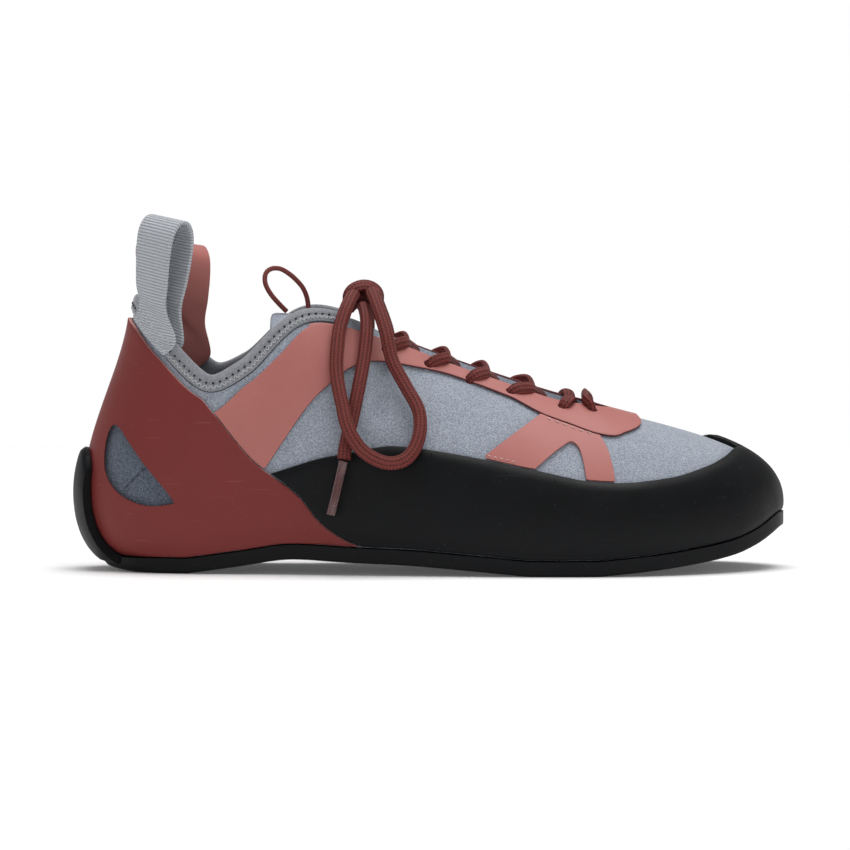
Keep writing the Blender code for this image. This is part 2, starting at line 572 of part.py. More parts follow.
def make_outsole():
    """A flat sheet with ground edges, thicker at the heel, whose tail wraps up the back."""
    under_wrap = GAP + SLING_THICKNESS + WRAP_GAP
    stations = np.linspace(0, 3, 400)
    half_width = -offset(stations, np.full(400, BELLY_SHARE), np.full(400, under_wrap))[:, 1]
    wrap_t = float(np.interp(HEEL_WRAP_WIDTH / 2, half_width, stations))
    wrap = np.linspace(-wrap_t, wrap_t, WRAP_COLUMNS)
    tail = wrap * (1 + HEEL_WRAP_FLARE)
    middle = WRAP_COLUMNS // 2
    beside = tail[-1] + (HEEL_FLARE_STATION - tail[-1]) * np.array([0.35, 0.7, 1.0])
    far_side = plate_ribs(HEEL_FLARE_STATION + RIB_STEP, STATIONS - HEEL_FLARE_STATION - RIB_STEP)
    t = np.concatenate([tail[middle:], beside, far_side, STATIONS - beside[::-1], tail[:middle] + STATIONS])
    folded = np.minimum(t, STATIONS - t)
    in_tail = folded < tail[-1] + 1e-6
    layer_here = np.where(folded < 5, SLING_THICKNESS, RAND_THICKNESS)
    low = clear_of_sole(t % STATIONS, GAP + layer_here)
    fade = np.clip((folded - tail[-1]) / (HEEL_FLARE_STATION - tail[-1]), 0, 1)
    flared = 0.5 + 0.5 * np.cos(math.pi * fade)
    plain = layer_here + GAP + SOLE_FLUSH
    reach = plain + (under_wrap + HEEL_WRAP_THICKNESS - plain) * flared
    edge = offset(t, low, reach)
    out = outward(t)
    side = edge.copy()
    flat = sole_rise(edge[:, 0]) + heel_curl(edge[:, 0]) + SOLE_EDGE_RADIUS
    side[:, 2] = flat + (np.maximum(edge[:, 2], flat) - flat) * flared
    under = edge - out * (SOLE_EDGE_RADIUS + HEEL_EDGE_ROUNDING * flared)[:, None]
    under[:, 2] = sole_rise(under[:, 0]) + heel_curl(under[:, 0])
    top = np.where(in_tail[:, None], offset(t, low, np.full(len(t), under_wrap)), edge)
    top[:, 2] = sole_top(top[:, 0]) - GAP

    mesh = bmesh.new()
    ladder(mesh, under, lambda x: sole_rise(x) + heel_curl(x))
    ladder(mesh, top, lambda x: sole_top(x) - GAP)
    count = len(t)
    for i in range(middle, count - middle):
        k = (i + 1) % count
        add_grid(mesh, np.array([[under[i], side[i], top[i]], [under[k], side[k], top[k]]]))

    order = list(range(count - middle, count)) + list(range(middle + 1))
    crest = HEEL_WRAP_HEIGHT * (1 - 0.16 * (wrap / wrap_t) ** 4)
    v_top = np.array([wrap_v(a, b) for a, b in zip(wrap, crest)])
    outer_rows, inner_rows = [under[order], side[order]], [top[order]]
    steps = [v for v in UPPER_ROWS if low[order].max() + 0.02 < v < v_top.max() - 0.02] + [v_top.max()]
    for step in steps:
        share = (step - low[order]) / (v_top.max() - low[order])
        v = low[order] + (v_top - low[order]) * share
        here = wrap * (1 + HEEL_WRAP_FLARE * (1 - share) ** 3)
        inner_rows.append(offset(here, v, np.full(len(v), under_wrap)))
        outer_rows.append(offset(here, v, under_wrap + HEEL_WRAP_THICKNESS * (1 - 0.35 * share ** 4)))
    outer_grid, inner_grid = np.stack(outer_rows, 1), np.stack(inner_rows, 1)
    add_grid(mesh, outer_grid)
    add_grid(mesh, inner_grid)
    add_grid(mesh, np.stack([outer_grid[:, -1], inner_grid[:, -1]], 1))
    for n in (0, -1):
        add_grid(mesh, np.stack([outer_grid[n][1:], inner_grid[n]], 0))
    return finish_mesh("outsole", mesh, black_rubber())


def sling_front(t):
    """v of the sling's front edge at station t, on either side."""
    folded = np.minimum(np.asarray(t, float) % STATIONS, STATIONS - np.asarray(t, float) % STATIONS)
    outer = edge_line(-1, SLING_FRONT)
    return outer(folded)


def make_sling():
    """The tensioned heel rubber, with a half-moon window on the outer side."""
    (hole_start, hole_end), _ = find(-1, [CUTOUT_TOP[0], CUTOUT_TOP[-1]])
    fine = np.linspace(3, 6, 200)
    tip_t = fine[np.argmax(sling_front(fine) < clear_of_sole(fine, GAP + SLING_THICKNESS) + 0.006)]
    hole_low, hole_high = edge_line(-1, CUTOUT_BOTTOM), edge_line(-1, CUTOUT_TOP)
    t = ribs_between(-tip_t, tip_t, hole_start, hole_end, *np.linspace(hole_start, hole_end, 6)[1:-1])
    outer_skin = GAP + SLING_THICKNESS
    high = np.minimum(sling_front(t), 0.985)
    low = clear_of_sole(t % STATIONS, outer_skin)
    sill = np.where(t >= hole_end - 1e-9, hole_low(hole_end), hole_low(t))
    head = np.where(t >= hole_end - 1e-9, sill, hole_high(t))
    first, last = (int(np.argmin(np.abs(t - edge))) for edge in (hole_start, hole_end))
    whole = [column(low[i], high[i]) for i in range(len(t))]
    whole[first] = column(low[first], high[first], sill[first], head[first])
    whole[last] = column(low[last], high[last], sill[last])
    faces = strip(t[:first + 1], whole[:first + 1]) + strip(t[last:], whole[last:])
    in_hole = range(first, last + 1)
    faces += strip(t[first:last + 1], [[v for v in whole[i] if v < sill[i] - 1e-6] + [sill[i]] if i in (first, last)
                                       else column(low[i], sill[i]) for i in in_hole])
    faces += strip(t[first:last + 1], [[head[i]] + [v for v in whole[i] if v > head[i] + 1e-6] if i in (first, last)
                                       else column(head[i], high[i]) for i in in_hole])
    return layer("heel_sling", faces, GAP, outer_skin, maroon_rubber())


def round_the_toe(outer_places, inner_places, toe_along):
    """An edge as v(t) from the outer side round the toe to the inner side."""
    outer_t, outer_v = find(-1, outer_places)
    inner_t, inner_v = find(1, inner_places)
    points = list(zip(outer_t, outer_v)) + list(zip(inner_t, inner_v))
    points.append((TOE, v_at_along(TOE, toe_along)))
    points.sort()
    return lambda at: smooth_through(points, at)


RAND_TOP = round_the_toe(RAND_TOP_OUTER, RAND_TOP_INNER, RAND_TOE_ALONG)


def rand_top(t):
    """v of the rand's upper edge at station t, right round the toe."""
    return RAND_TOP(t)


def make_rand():
    """The rubber wall round the forefoot, from the sling's edge round the toe and back."""
    fine = np.linspace(2, TOE, 400)
    meets = fine[np.argmax(rand_top(fine) > step_up(fine, sling_front(fine), 1.5 * GAP))]
    fine = np.linspace(TOE, STATIONS - 2, 400)
    inner_meets = fine[len(fine) - 1 - np.argmax((rand_top(fine) > step_up(fine, sling_front(fine), 1.5 * GAP))[::-1])]
    t = ribs_between(meets, inner_meets)
    far = GAP + RAND_THICKNESS
    high = rand_top(t)
    low = np.maximum(clear_of_sole(t, far) + 0.004, step_up(t, sling_front(t), 2 * GAP))
    low = np.minimum(low, high)
    return layer("rand", strip(t, [column(a, b) for a, b in zip(low, high)]), GAP, far, black_rubber(), rand_top)


EYESTAY_EDGE = round_the_toe(EYESTAY_LOW, EYESTAY_LOW, EYESTAY_TOE_ALONG)


def eyestay_low(t):
    """v of the eyestay's lower edge at station t."""
    return EYESTAY_EDGE(t)


def make_eyestay():
    """One thin overlay: the quarter straps, the facings under the laces and the end at the vamp."""
    high_line = edge_line(-1, EYESTAY_HIGH)
    t_high, _ = find(-1, EYESTAY_HIGH)
    start, collar_end = t_high[0], t_high[-1]

    def low_of(t):
        return np.maximum(eyestay_low(t), step_up(t, sling_front(t), 1.5 * GAP))

    def high_of(t):
        folded = np.minimum(t, STATIONS - t)
        return np.where(folded < collar_end, np.minimum(high_line(folded), 0.99), 0.99)

    fine = np.linspace(start, collar_end, 300)
    start = fine[np.argmax(high_of(fine) > low_of(fine))]
    t = ribs_between(start, STATIONS - start)
    low, high = low_of(t), high_of(t)
    faces = strip(t, [column(min(a, b), b) for a, b in zip(low, high)])
    return layer("eyestay", faces, OVERLAY_GAP, OVERLAY_GAP + OVERLAY_THICKNESS, coral_microfibre())


def make_fork(name, side):
    """The two-legged overlay between eyestay and rand at the forefoot."""
    left, right, arch = (np.array(p) for p in (FORK_LEFT, FORK_RIGHT, FORK_ARCH))
    x = np.unique(np.concatenate([
        np.linspace(left[0, 0], left[-1, 0], 6), np.linspace(left[-1, 0], right[0, 0], 6),
        arch[:, 0], right[:, 0], np.linspace(arch[-1, 0], right[0, 0], 4),
    ]).round(4))
    grid_t = np.linspace(5, TOE, 300) if side < 0 else np.linspace(TOE, STATIONS - 5, 300)

    def height_on(edge_v):
        p = skin(grid_t, edge_v)
        order = np.argsort(p[:, 0])
        return lambda share: (np.interp(share * LAST_LENGTH, p[order, 0], p[order, 2]) - SOLE_TOP) / INSTEP_HEIGHT

    clearance = 1.5 * GAP / INSTEP_HEIGHT
    rand_height = height_on(rand_top(grid_t))
    stay_height = height_on(eyestay_low(grid_t))

    def edges(share):
        top = np.array(stay_height(share) - clearance)
        top = np.where(share < left[-1, 0], np.minimum(top, smooth_through(left, share)), top)
        top = np.where(share > right[0, 0], np.minimum(top, smooth_through(right, share)), top)
        bottom = rand_height(share) + clearance
        under = (share > arch[0, 0]) & (share < arch[-1, 0])
        return np.where(under, np.maximum(bottom, smooth_through(arch, share)), bottom), top

    fine = np.linspace(left[0, 0] - 0.02, right[-1, 0] + 0.02, 400)
    bottom, top = edges(fine)
    whole = fine[top - bottom > 2 * clearance]
    x = np.concatenate([[whole[0]], x[(x > whole[0] + 0.002) & (x < whole[-1] - 0.002)], [whole[-1]]])
    low, high = edges(x)
    heights = rows_between(low, high, 4)
    places = np.stack([np.repeat(x[:, None], 4, 1), heights], -1).reshape(-1, 2)
    t, v = find(side, places)
    t, v = t.reshape(len(x), 4), v.reshape(len(x), 4)
    near, far = np.full(t.shape, OVERLAY_GAP), np.full(t.shape, OVERLAY_GAP + OVERLAY_THICKNESS)
    return shell(name, offset(t, v, far), offset(t, v, near), coral_microfibre())


COLLAR_END = 5.5


def collar_frame(t):
    """At the mouth: the edge point, the outward normal and the direction that leaves the wall."""
    t = np.asarray(t, float)
    edge = skin(t, np.ones(t.shape))
    run = skin(t + 0.02, np.ones(t.shape)) - skin(t - 0.02, np.ones(t.shape))
    run /= np.linalg.norm(run, axis=-1, keepdims=True)
    out = normal(t, np.ones(t.shape))
    out -= run * (out * run).sum(-1, keepdims=True)
    out /= np.linalg.norm(out, axis=-1, keepdims=True)
    return edge, out, np.cross(out, run)


def make_binding():
    """The stretch-knit roll along the collar, on the upper's edge."""
    t = np.arange(-COLLAR_END, COLLAR_END + RIB_STEP / 2, RIB_STEP)
    edge, out, up = collar_frame(t)
    half = BINDING_THICKNESS / 2
    section = (
        (0.9 * half, GAP), (half, 0.45 * BINDING_HEIGHT), (0.8 * half, 0.82 * BINDING_HEIGHT), (0.25 * half, BINDING_HEIGHT),
        (-0.3 * half, BINDING_HEIGHT), (-0.85 * half, 0.82 * BINDING_HEIGHT), (-half, 0.45 * BINDING_HEIGHT), (-0.9 * half, GAP),
    )
    centre = edge - out * UPPER_WALL / 2
    grid = np.array([[centre[i] + out[i] * a + up[i] * b for a, b in section] for i in range(len(t))])
    mesh = bmesh.new()
    closed_grid = np.concatenate([grid, grid[:, :1]], 1)
    add_grid(mesh, closed_grid)
    for end in (0, -1):
        mesh.faces.new([mesh.verts.new(p) for p in place(grid[end])])
    return finish_mesh("collar_binding", mesh, grey_knit())


def tongue_rows():
    """Sections of the tongue's outer surface from the toe end to its free top, lateral to medial."""
    rows = []
    depth = UPPER_WALL + 1.5 * GAP
    for t in (11.75, 11.0, 10.5, 9.5, 8.5, 7.5, 7.0, 6.5):
        sides = []
        for station in (t, STATIONS - t):
            length = np.linalg.norm(slopes(station, 0.97)[1])
            v = 1 - TONGUE_UNDERLAP / length * np.array([1.0, 0.66, 0.33, 0.0])
            sides.append(offset(np.full(4, station), v, np.full(4, -depth)))
        left, right = sides
        bridge = right[-1] - left[-1]
        pull = np.linalg.norm(bridge) * 0.35
        rise_left = (left[-1] - left[-2]) / np.linalg.norm(left[-1] - left[-2]) * pull
        rise_right = (right[-1] - right[-2]) / np.linalg.norm(right[-1] - right[-2]) * pull
        middle = [
            bezier(left[-1], left[-1] + rise_left / 3, right[-1] + rise_right / 3, right[-1], np.array(s))
            for s in (0.25, 0.5, 0.75)
        ]
        rows.append(np.array(list(left) + middle + list(right[::-1])))
    across = np.linspace(-1, 1, 11)
    for along, half_width, ridge, drop in TONGUE_FREE:
        y = across * half_width * BALL_WIDTH
        z = SOLE_TOP + ridge * INSTEP_HEIGHT - drop * BALL_WIDTH * across ** 2
        rows.append(np.stack([np.full(11, along * LAST_LENGTH) + 0.0, y, z], -1))
    return np.array(rows)


def grid_normals(grid):
    """Unit normals of a grid of points, upwards for the tongue's order of rows."""
    d_row = np.gradient(grid, axis=0)
    d_col = np.gradient(grid, axis=1)
    n = np.cross(d_col, d_row)
    return n / np.linalg.norm(n, axis=-1, keepdims=True)


def make_tongue():
    outer = tongue_rows()
    n = grid_normals(outer)
    n *= np.sign(n[..., 2:].mean())
    inner = outer - n * TONGUE_THICKNESS
    return shell("tongue", outer, inner, grey_suede())


def make_insole():
    """The footbed board that closes the upper underneath, inside its lower edge."""
    t = plate_ribs(0, STATIONS - RIB_STEP)
    n = normal(t, np.zeros(len(t)))
    reach = UPPER_WALL * np.linalg.norm(n[:, :2], axis=-1) + 2.2 * GAP
    feather = skin(t, np.zeros(len(t))) - outward(t) * reach[:, None]
    low, high = feather.copy(), feather.copy()
    low[:, 2] = sole_top(feather[:, 0])
    high[:, 2] = low[:, 2] + INSOLE_THICKNESS
    mesh = bmesh.new()
    ladder(mesh, low, sole_top)
    ladder(mesh, high, lambda x: sole_top(x) + INSOLE_THICKNESS)
    add_grid(mesh, np.stack([low, high], 1), wrap=True)
    return finish_mesh("insole", mesh, grey_knit())


def make_pull_loop(name, stations, height, depth, lean, look):
    """A folded webbing loop whose feet straddle the collar between two stations."""
    t = np.linspace(stations[0], stations[1], 4)
    edge, out, up = collar_frame(t)
    away = out.mean(0) * np.array([1, 1, 0])
    away /= np.linalg.norm(away)
    foot = (BINDING_THICKNESS + WEBBING_THICKNESS) / 2 + 1.5 * GAP
    base = edge - out * UPPER_WALL / 2 + up * 2 * GAP
    run = base[-1] - base[0]
    width = np.linalg.norm(run)
    run *= np.array([1, 1, LOOP_TOP_SLANT])
    run /= np.linalg.norm(run)
    crest = base.mean(0) + np.array([lean, 0, height]) + np.linspace(-0.5, 0.5, 4)[:, None] * width * run
    rising = BINDING_HEIGHT / height
    grid = []
    for n in range(4):
        outer_foot = [base[n] + out[n] * foot, base[n] + out[n] * foot + up[n] * 1.05 * BINDING_HEIGHT]
        inner_foot = [base[n] - out[n] * foot + up[n] * 1.05 * BINDING_HEIGHT, base[n] - out[n] * foot]
        bend = [
            base[n] + (crest[n] - base[n]) * (rising + (1 - rising) * share) + away * side * depth
            for side, share in LOOP_LINE
        ]
        grid.append(outer_foot + bend + inner_foot)
    grid = np.array(grid)
    n = np.cross(np.gradient(grid, axis=0), np.gradient(grid, axis=1))
    n /= np.linalg.norm(n, axis=-1, keepdims=True)
    half = n * WEBBING_THICKNESS / 2
    return shell(name, grid + half, grid - half, look)


def smooth_route(points, spacing):
    """Points about a spacing apart on a Catmull-Rom curve through a route."""
    p = np.array(points, float)
    p = np.vstack([2 * p[0] - p[1], p, 2 * p[-1] - p[-2]])
    fine = []
    for i in range(1, len(p) - 2):
        for s in np.linspace(0, 1, 24, endpoint=False):
            a, b, c, d = p[i - 1], p[i], p[i + 1], p[i + 2]
            fine.append(0.5 * (2 * b + (c - a) * s + (2 * a - 5 * b + 4 * c - d) * s ** 2 + (3 * b - a - 3 * c + d) * s ** 3))
    fine.append(p[-2])
    fine = np.array(fine)
    run = np.concatenate([[0], np.cumsum(np.linalg.norm(np.diff(fine, axis=0), axis=1))])
    count = max(3, int(round(run[-1] / spacing)) + 1)
    at = np.linspace(0, run[-1], count)
    return np.stack([np.interp(at, run, fine[:, k]) for k in range(3)], -1)


def cord(name, points, diameter, look, spacing=None, resolution=2):
    """A plain round cord: a poly curve with a round bevel and closed ends."""
    route = smooth_route(points, spacing or 1.7 * diameter)
    curve = bpy.data.curves.new(name, "CURVE")
    curve.dimensions = "3D"
    curve.bevel_depth = diameter / 2
    curve.bevel_resolution = resolution
    curve.use_fill_caps = True
    spline = curve.splines.new("POLY")
    spline.points.add(len(route) - 1)
    for point, at in zip(spline.points, route):
        point.co = (*at, 1)
    curve.materials.append(look)
    made = bpy.data.objects.new(name, curve)
    bpy.context.scene.collection.objects.link(made)
    return made


def tube(name, points, look, sides=6, spacing=0.0065):
    """A closed oval tube as a mesh, for a lace that lies on the shoe."""
    route = smooth_route(points, spacing)
    run = np.gradient(route, axis=0)
    run /= np.linalg.norm(run, axis=-1, keepdims=True)
    across = np.cross(run, [0.25, 0.0, 1.0])
    across /= np.linalg.norm(across, axis=-1, keepdims=True)
    above = np.cross(across, run)
    angle = np.arange(sides) / sides * 2 * math.pi
    grid = np.array([
        route[i]
        + LACE_DIAMETER / 2 * np.cos(angle)[:, None] * across[i]
        + LACE_THICKNESS / 2 * np.sin(angle)[:, None] * above[i]
        for i in range(len(route))
    ])
    mesh = bmesh.new()
    add_grid(mesh, np.concatenate([grid, grid[:, :1]], 1))
    for end in (0, -1):
        mesh.faces.new([mesh.verts.new(p) for p in place(grid[end])])
    return finish_mesh(name, mesh, look)


def join_by_union(main, other):
    other.hide_render = True
    other.display_type = "WIRE"
    union = main.modifiers.new("joined_to_" + other.name, "BOOLEAN")
    union.operation = "UNION"
    union.object = other


def eyelet(side, number):
    """Station and v of a lace hole; number 0 is next to the toe."""
    along = EYELETS_ALONG[number] * LAST_LENGTH
    stations = np.linspace(5, TOE - 0.3, 300)
    if side > 0:
        stations = STATIONS - stations
    rate = np.linalg.norm(slopes(stations, 0.95)[1], axis=-1)
    v = 1 - EYELET_INSET / rate
    x = skin(stations, v)[:, 0]
    order = np.argsort(x)
    t = float(np.interp(along, x[order], stations[order]))
    return t, float(np.interp(along, x[order], v[order]))


def lace_point(t, v, lift=0.0):
    """The middle of a lace that lies on the eyestay."""
    height = OVERLAY_GAP + OVERLAY_THICKNESS + GAP + LACE_THICKNESS / 2 + lift
    return offset(np.array([t]), np.array([v]), np.array([height]))[0]


def over_tongue(near, far):
    """Points of a lace between the two facings, lifted over the tongue's crown."""
    lift = np.array([0.0, 0.0, LACE_LIFT])
    return [near + (far - near) * share + lift for share in (0.3, 0.5, 0.7)]


def strand(side, number):
    """A lace from its hole over the tongue to the other facing's edge, towards the next hole."""
    t, v = eyelet(side, number)
    here = t if side < 0 else STATIONS - t
    ahead, _ = eyelet(-1, number - 1)
    edge = here + (ahead - here) * 0.12
    far = here + (ahead - here) * 0.5
    near_t, far_t = (edge, STATIONS - far) if side < 0 else (STATIONS - edge, far)
    near, far = lace_point(near_t, 0.995), lace_point(far_t, 0.995)
    return [lace_point(t, v), near, *over_tongue(near, far), far]


def make_laces():
    """The bar at the toe end and five crossings, each crossing one solid."""
    left, right = eyelet(-1, 0), eyelet(1, 0)
    near, far = lace_point(left[0], 0.995), lace_point(right[0], 0.995)
    tube("lace_bar", [lace_point(*left), near, *over_tongue(near, far), far, lace_point(*right)], lace_braid())
    for number in range(1, len(EYELETS_ALONG)):
        main = tube(f"lace_crossing_{number}", strand(-1, number), lace_braid())
        other = tube(f"lace_crossing_{number}_other", strand(1, number), lace_braid())
        join_by_union(main, other)


def make_knot():
    """The bow's knot over the top crossing."""
    mesh = bmesh.new()
    bmesh.ops.create_uvsphere(mesh, u_segments=12, v_segments=8, radius=1.0)
    bmesh.ops.scale(mesh, verts=mesh.verts, vec=KNOT_SIZE)
    bmesh.ops.translate(mesh, verts=mesh.verts, vec=KNOT_PLACE)
    return finish_mesh("lace_knot", mesh, lace_braid())


def make_bow():
    make_knot()
    cord("lace_loop_outer", OUTER_LOOP_ROUTE, LACE_DIAMETER, lace_braid())
    cord("lace_end_outer", OUTER_END_ROUTE, LACE_DIAMETER, lace_braid())
    cord("aglet_outer", OUTER_AGLET_ROUTE, AGLET_DIAMETER, lace_braid())
    cord("lace_loop_inner", INNER_LOOP_ROUTE, LACE_DIAMETER, lace_braid())
    cord("lace_end_inner", INNER_END_ROUTE, LACE_DIAMETER, lace_braid())
    cord("aglet_inner", INNER_AGLET_ROUTE, AGLET_DIAMETER, lace_braid())
    cord("tongue_pull_cord", TONGUE_CORD_ROUTE, TONGUE_CORD_DIAMETER, lace_braid(), spacing=0.0035, resolution=1)


def clear_scene():
    for old in list(bpy.data.objects):
        bpy.data.objects.remove(old)


def main():
    clear_scene()
    make_upper()
    make_outsole()
    make_insole()
    make_rand()
    make_sling()
    make_eyestay()
    make_fork("fork_outer", -1)
    make_fork("fork_inner", 1)
    make_binding()
    make_tongue()
    make_pull_loop("pull_loop_outer", OUTER_LOOP_STATIONS, OUTER_LOOP_HEIGHT, OUTER_LOOP_DEPTH, OUTER_LOOP_LEAN, grey_webbing())
    make_pull_loop("pull_loop_inner", INNER_LOOP_STATIONS, INNER_LOOP_HEIGHT, INNER_LOOP_DEPTH, INNER_LOOP_LEAN, coral_microfibre())
    make_laces()
    make_bow()


main()
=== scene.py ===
# %% [markdown]
# # A lace-up climbing shoe
# A climbing shoe is a thin suede bag pulled tight round a foot-shaped block, the last. Rubber is
# glued over it: a flat sole, a rand round the forefoot and a stretched sling round the heel. Every
# piece lies on the last, so this lesson first writes the last as one function, and then lays each
# piece on it. It starts with the shoe's plain solids, which give every size and place.
# %% Load the shoe's solids
import math

import bpy
import numpy as np
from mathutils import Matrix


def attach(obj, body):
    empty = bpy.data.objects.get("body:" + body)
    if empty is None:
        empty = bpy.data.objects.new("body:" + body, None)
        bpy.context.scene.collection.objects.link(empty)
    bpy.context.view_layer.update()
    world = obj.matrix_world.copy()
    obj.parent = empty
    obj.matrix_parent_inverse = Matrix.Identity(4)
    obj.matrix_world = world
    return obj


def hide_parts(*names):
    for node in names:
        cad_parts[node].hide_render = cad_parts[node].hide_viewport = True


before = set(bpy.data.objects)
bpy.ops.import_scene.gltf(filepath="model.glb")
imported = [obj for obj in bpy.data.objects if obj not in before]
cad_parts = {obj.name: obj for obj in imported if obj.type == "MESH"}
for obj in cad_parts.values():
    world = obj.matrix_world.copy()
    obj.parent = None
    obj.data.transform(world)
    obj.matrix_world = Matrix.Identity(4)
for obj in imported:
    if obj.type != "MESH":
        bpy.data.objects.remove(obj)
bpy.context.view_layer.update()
print("solids:", ", ".join(sorted(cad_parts)))

# %% [markdown]
# ## The camera
# The picture was taken from the shoe's outer side, a little above the floor, with a long lens that
# hardly narrows towards the far side. So the camera stands well back with a long lens. The picture's
# width on the shoe is about 310 mm, and the lens follows from that width and the distance.
# %% Camera
PICTURE_WIDTH = 0.3102
CAMERA_DISTANCE = 1.9
CAMERA_RISE_DEG = 2.6
LOOK_AT = (0.0968, -0.015, 0.0535)

bpy.ops.object.select_all(action="DESELECT")
rise = math.radians(CAMERA_RISE_DEG)
stand = (
    LOOK_AT[0],
    LOOK_AT[1] - CAMERA_DISTANCE * math.cos(rise),
    LOOK_AT[2] + CAMERA_DISTANCE * math.sin(rise),
)
bpy.ops.object.camera_add(location=stand, rotation=(math.pi / 2 - rise, 0, 0))
camera = bpy.context.object
camera.data.lens = camera.data.sensor_width * CAMERA_DISTANCE / PICTURE_WIDTH
bpy.context.scene.camera = camera
print(f"lens {camera.data.lens:.0f} mm, {CAMERA_DISTANCE} m from the shoe")

# %% [markdown]
# ## The last
# The last is a ring of ribs. A rib starts at the feather line, where the wall meets the sole, swells
# to the widest line and rises to the mouth, which is the collar at the back and the throat under the
# laces. Station 0 is the back of the heel and 12 the toe tip: 0 to 12 run along the outer side, 12 to
# 24 back along the inner side. These are the sizes that the solids were made with, so the fine pieces
# lie exactly where the plain ones are.
# %% Sizes of the last, in metres
LAST_LENGTH = 0.2540
BALL_WIDTH = 0.0860
INSTEP_HEIGHT = 0.0875
HEEL_HEIGHT = 0.0888
ARCH_RISE = 0.0055
TOE_SPRING = 0.0155
HEEL_CURL_RISE = 0.0045
HEEL_REST_ALONG = 0.106

GAP = 0.00035
OVERLAY_GAP = 0.0005
WRAP_GAP = 0.0006
UPPER_WALL = 0.0020
SOLE_THICKNESS = 0.0054
HEEL_WRAP_THICKNESS = 0.0034
RAND_THICKNESS = 0.0020
SLING_THICKNESS = 0.0015
OVERLAY_THICKNESS = 0.0008
SOLE_TOP = SOLE_THICKNESS + GAP

STATIONS = 24
TOE = 12
BELLY_SHARE = 0.25
LOWER_FULLNESS = 0.62

# One row a section, heel to toe. Lengths are shares: along and mouth_along of LAST_LENGTH; outer,
# inner, tuck and the mouth's outer and inner of BALL_WIDTH; belly of INSTEP_HEIGHT; rim_outer and
# rim_inner of the height that the last column names. slope is the wall's slope at the mouth.
SECTION_COLUMNS = (
    "along", "outer", "inner", "tuck", "belly", "mouth_along", "mouth_outer", "mouth_inner",
    "rim_outer", "rim_inner", "slope", "roll", "low_reach", "high_reach", "height",
)
SECTIONS = (
    (0.000, 0.000, 0.000, 0.175, 0.266, 0.066, 0.000, 0.000, 1.000, 1.000, 84, 1.0, 0.33, 0.32, "heel"),
    (0.020, 0.174, 0.169, 0.150, 0.255, 0.075, 0.134, 0.128, 0.963, 0.974, 84, 0.9, 0.33, 0.32, "heel"),
    (0.071, 0.297, 0.291, 0.080, 0.232, 0.110, 0.262, 0.250, 0.833, 0.878, 82, 0.5, 0.33, 0.33, "heel"),
    (0.157, 0.355, 0.343, 0.047, 0.206, 0.173, 0.337, 0.320, 0.690, 0.725, 82, 0.2, 0.33, 0.33, "instep"),
    (0.244, 0.372, 0.337, 0.035, 0.189, 0.236, 0.326, 0.308, 0.760, 0.775, 76, 0.0, 0.33, 0.33, "instep"),
    (0.339, 0.407, 0.320, 0.029, 0.171, 0.319, 0.267, 0.262, 0.971, 0.977, 58, 0.0, 0.33, 0.33, "instep"),
    (0.441, 0.448, 0.320, 0.026, 0.149, 0.425, 0.157, 0.169, 0.905, 0.915, 42, 0.0, 0.33, 0.34, "instep"),
    (0.543, 0.488, 0.355, 0.023, 0.126, 0.516, 0.110, 0.145, 0.803, 0.820, 34, 0.0, 0.32, 0.35, "instep"),
    (0.646, 0.517, 0.430, 0.023, 0.114, 0.594, 0.099, 0.140, 0.722, 0.740, 30, 0.0, 0.30, 0.36, "instep"),
    (0.748, 0.506, 0.483, 0.023, 0.109, 0.665, 0.093, 0.134, 0.650, 0.672, 26, 0.0, 0.29, 0.38, "instep"),
    (0.843, 0.424, 0.488, 0.023, 0.103, 0.713, 0.076, 0.122, 0.622, 0.634, 20, 0.0, 0.28, 0.42, "instep"),
    (0.950, 0.200, 0.370, 0.030, 0.072, 0.738, 0.035, 0.087, 0.609, 0.612, 17, 0.0, 0.27, 0.45, "instep"),
    (1.000, -0.105, 0.105, 0.035, 0.034, 0.746, -0.041, 0.041, 0.605, 0.605, 15, 0.0, 0.27, 0.47, "instep"),
)
ARCH_CURVE = (
    (0.145, 0.0), (0.22, 0.50), (0.30, 1.0), (0.38, 0.82), (0.46, 0.68), (0.55, 0.36), (0.635, 0.0),
)
TOE_CURVE = ((0.735, 0.0), (0.80, 0.10), (0.86, 0.215), (0.93, 0.42), (0.965, 0.64), (1.0, 1.0))
HEEL_CURL = ((0.0, 1.0), (0.02, 0.55), (0.045, 0.22), (0.07, 0.0))


# %% [markdown]
# Two small curves do most of the drawing: a smooth line through a table's points, and the rise of the
# sole's underside above the floor, which is flat at heel and forefoot and lifts at arch and toe.
# %% Smooth tables and the sole's rise
def smooth_through(points, at):
    """A monotone cubic through (place, value) points, flat beyond both ends."""
    x = np.array([p[0] for p in points], float)
    y = np.array([p[1] for p in points], float)
    step = np.diff(x)
    rate = np.diff(y) / step
    slope = np.zeros(len(x))
    slope[0], slope[-1] = rate[0], rate[-1]
    for i in range(1, len(x) - 1):
        if rate[i - 1] * rate[i] > 0:
            a, b = 2 * step[i] + step[i - 1], step[i] + 2 * step[i - 1]
            slope[i] = (a + b) / (a / rate[i - 1] + b / rate[i])
    at = np.asarray(at, float)
    i = np.clip(np.searchsorted(x, at) - 1, 0, len(x) - 2)
    s = np.clip((at - x[i]) / step[i], 0, 1)
    return (
        y[i] * (1 + 2 * s) * (1 - s) ** 2
        + y[i + 1] * (3 - 2 * s) * s ** 2
        + step[i] * (slope[i] * s * (1 - s) ** 2 + slope[i + 1] * (s - 1) * s ** 2)
    )


def sole_rise(along):
    """How far the sole's underside stands off the floor at this x."""
    share = np.asarray(along, float) / LAST_LENGTH
    rise = ARCH_RISE * smooth_through(ARCH_CURVE, share) + TOE_SPRING * smooth_through(TOE_CURVE, share)
    return np.where(rise < 1e-7, 0.0, rise)


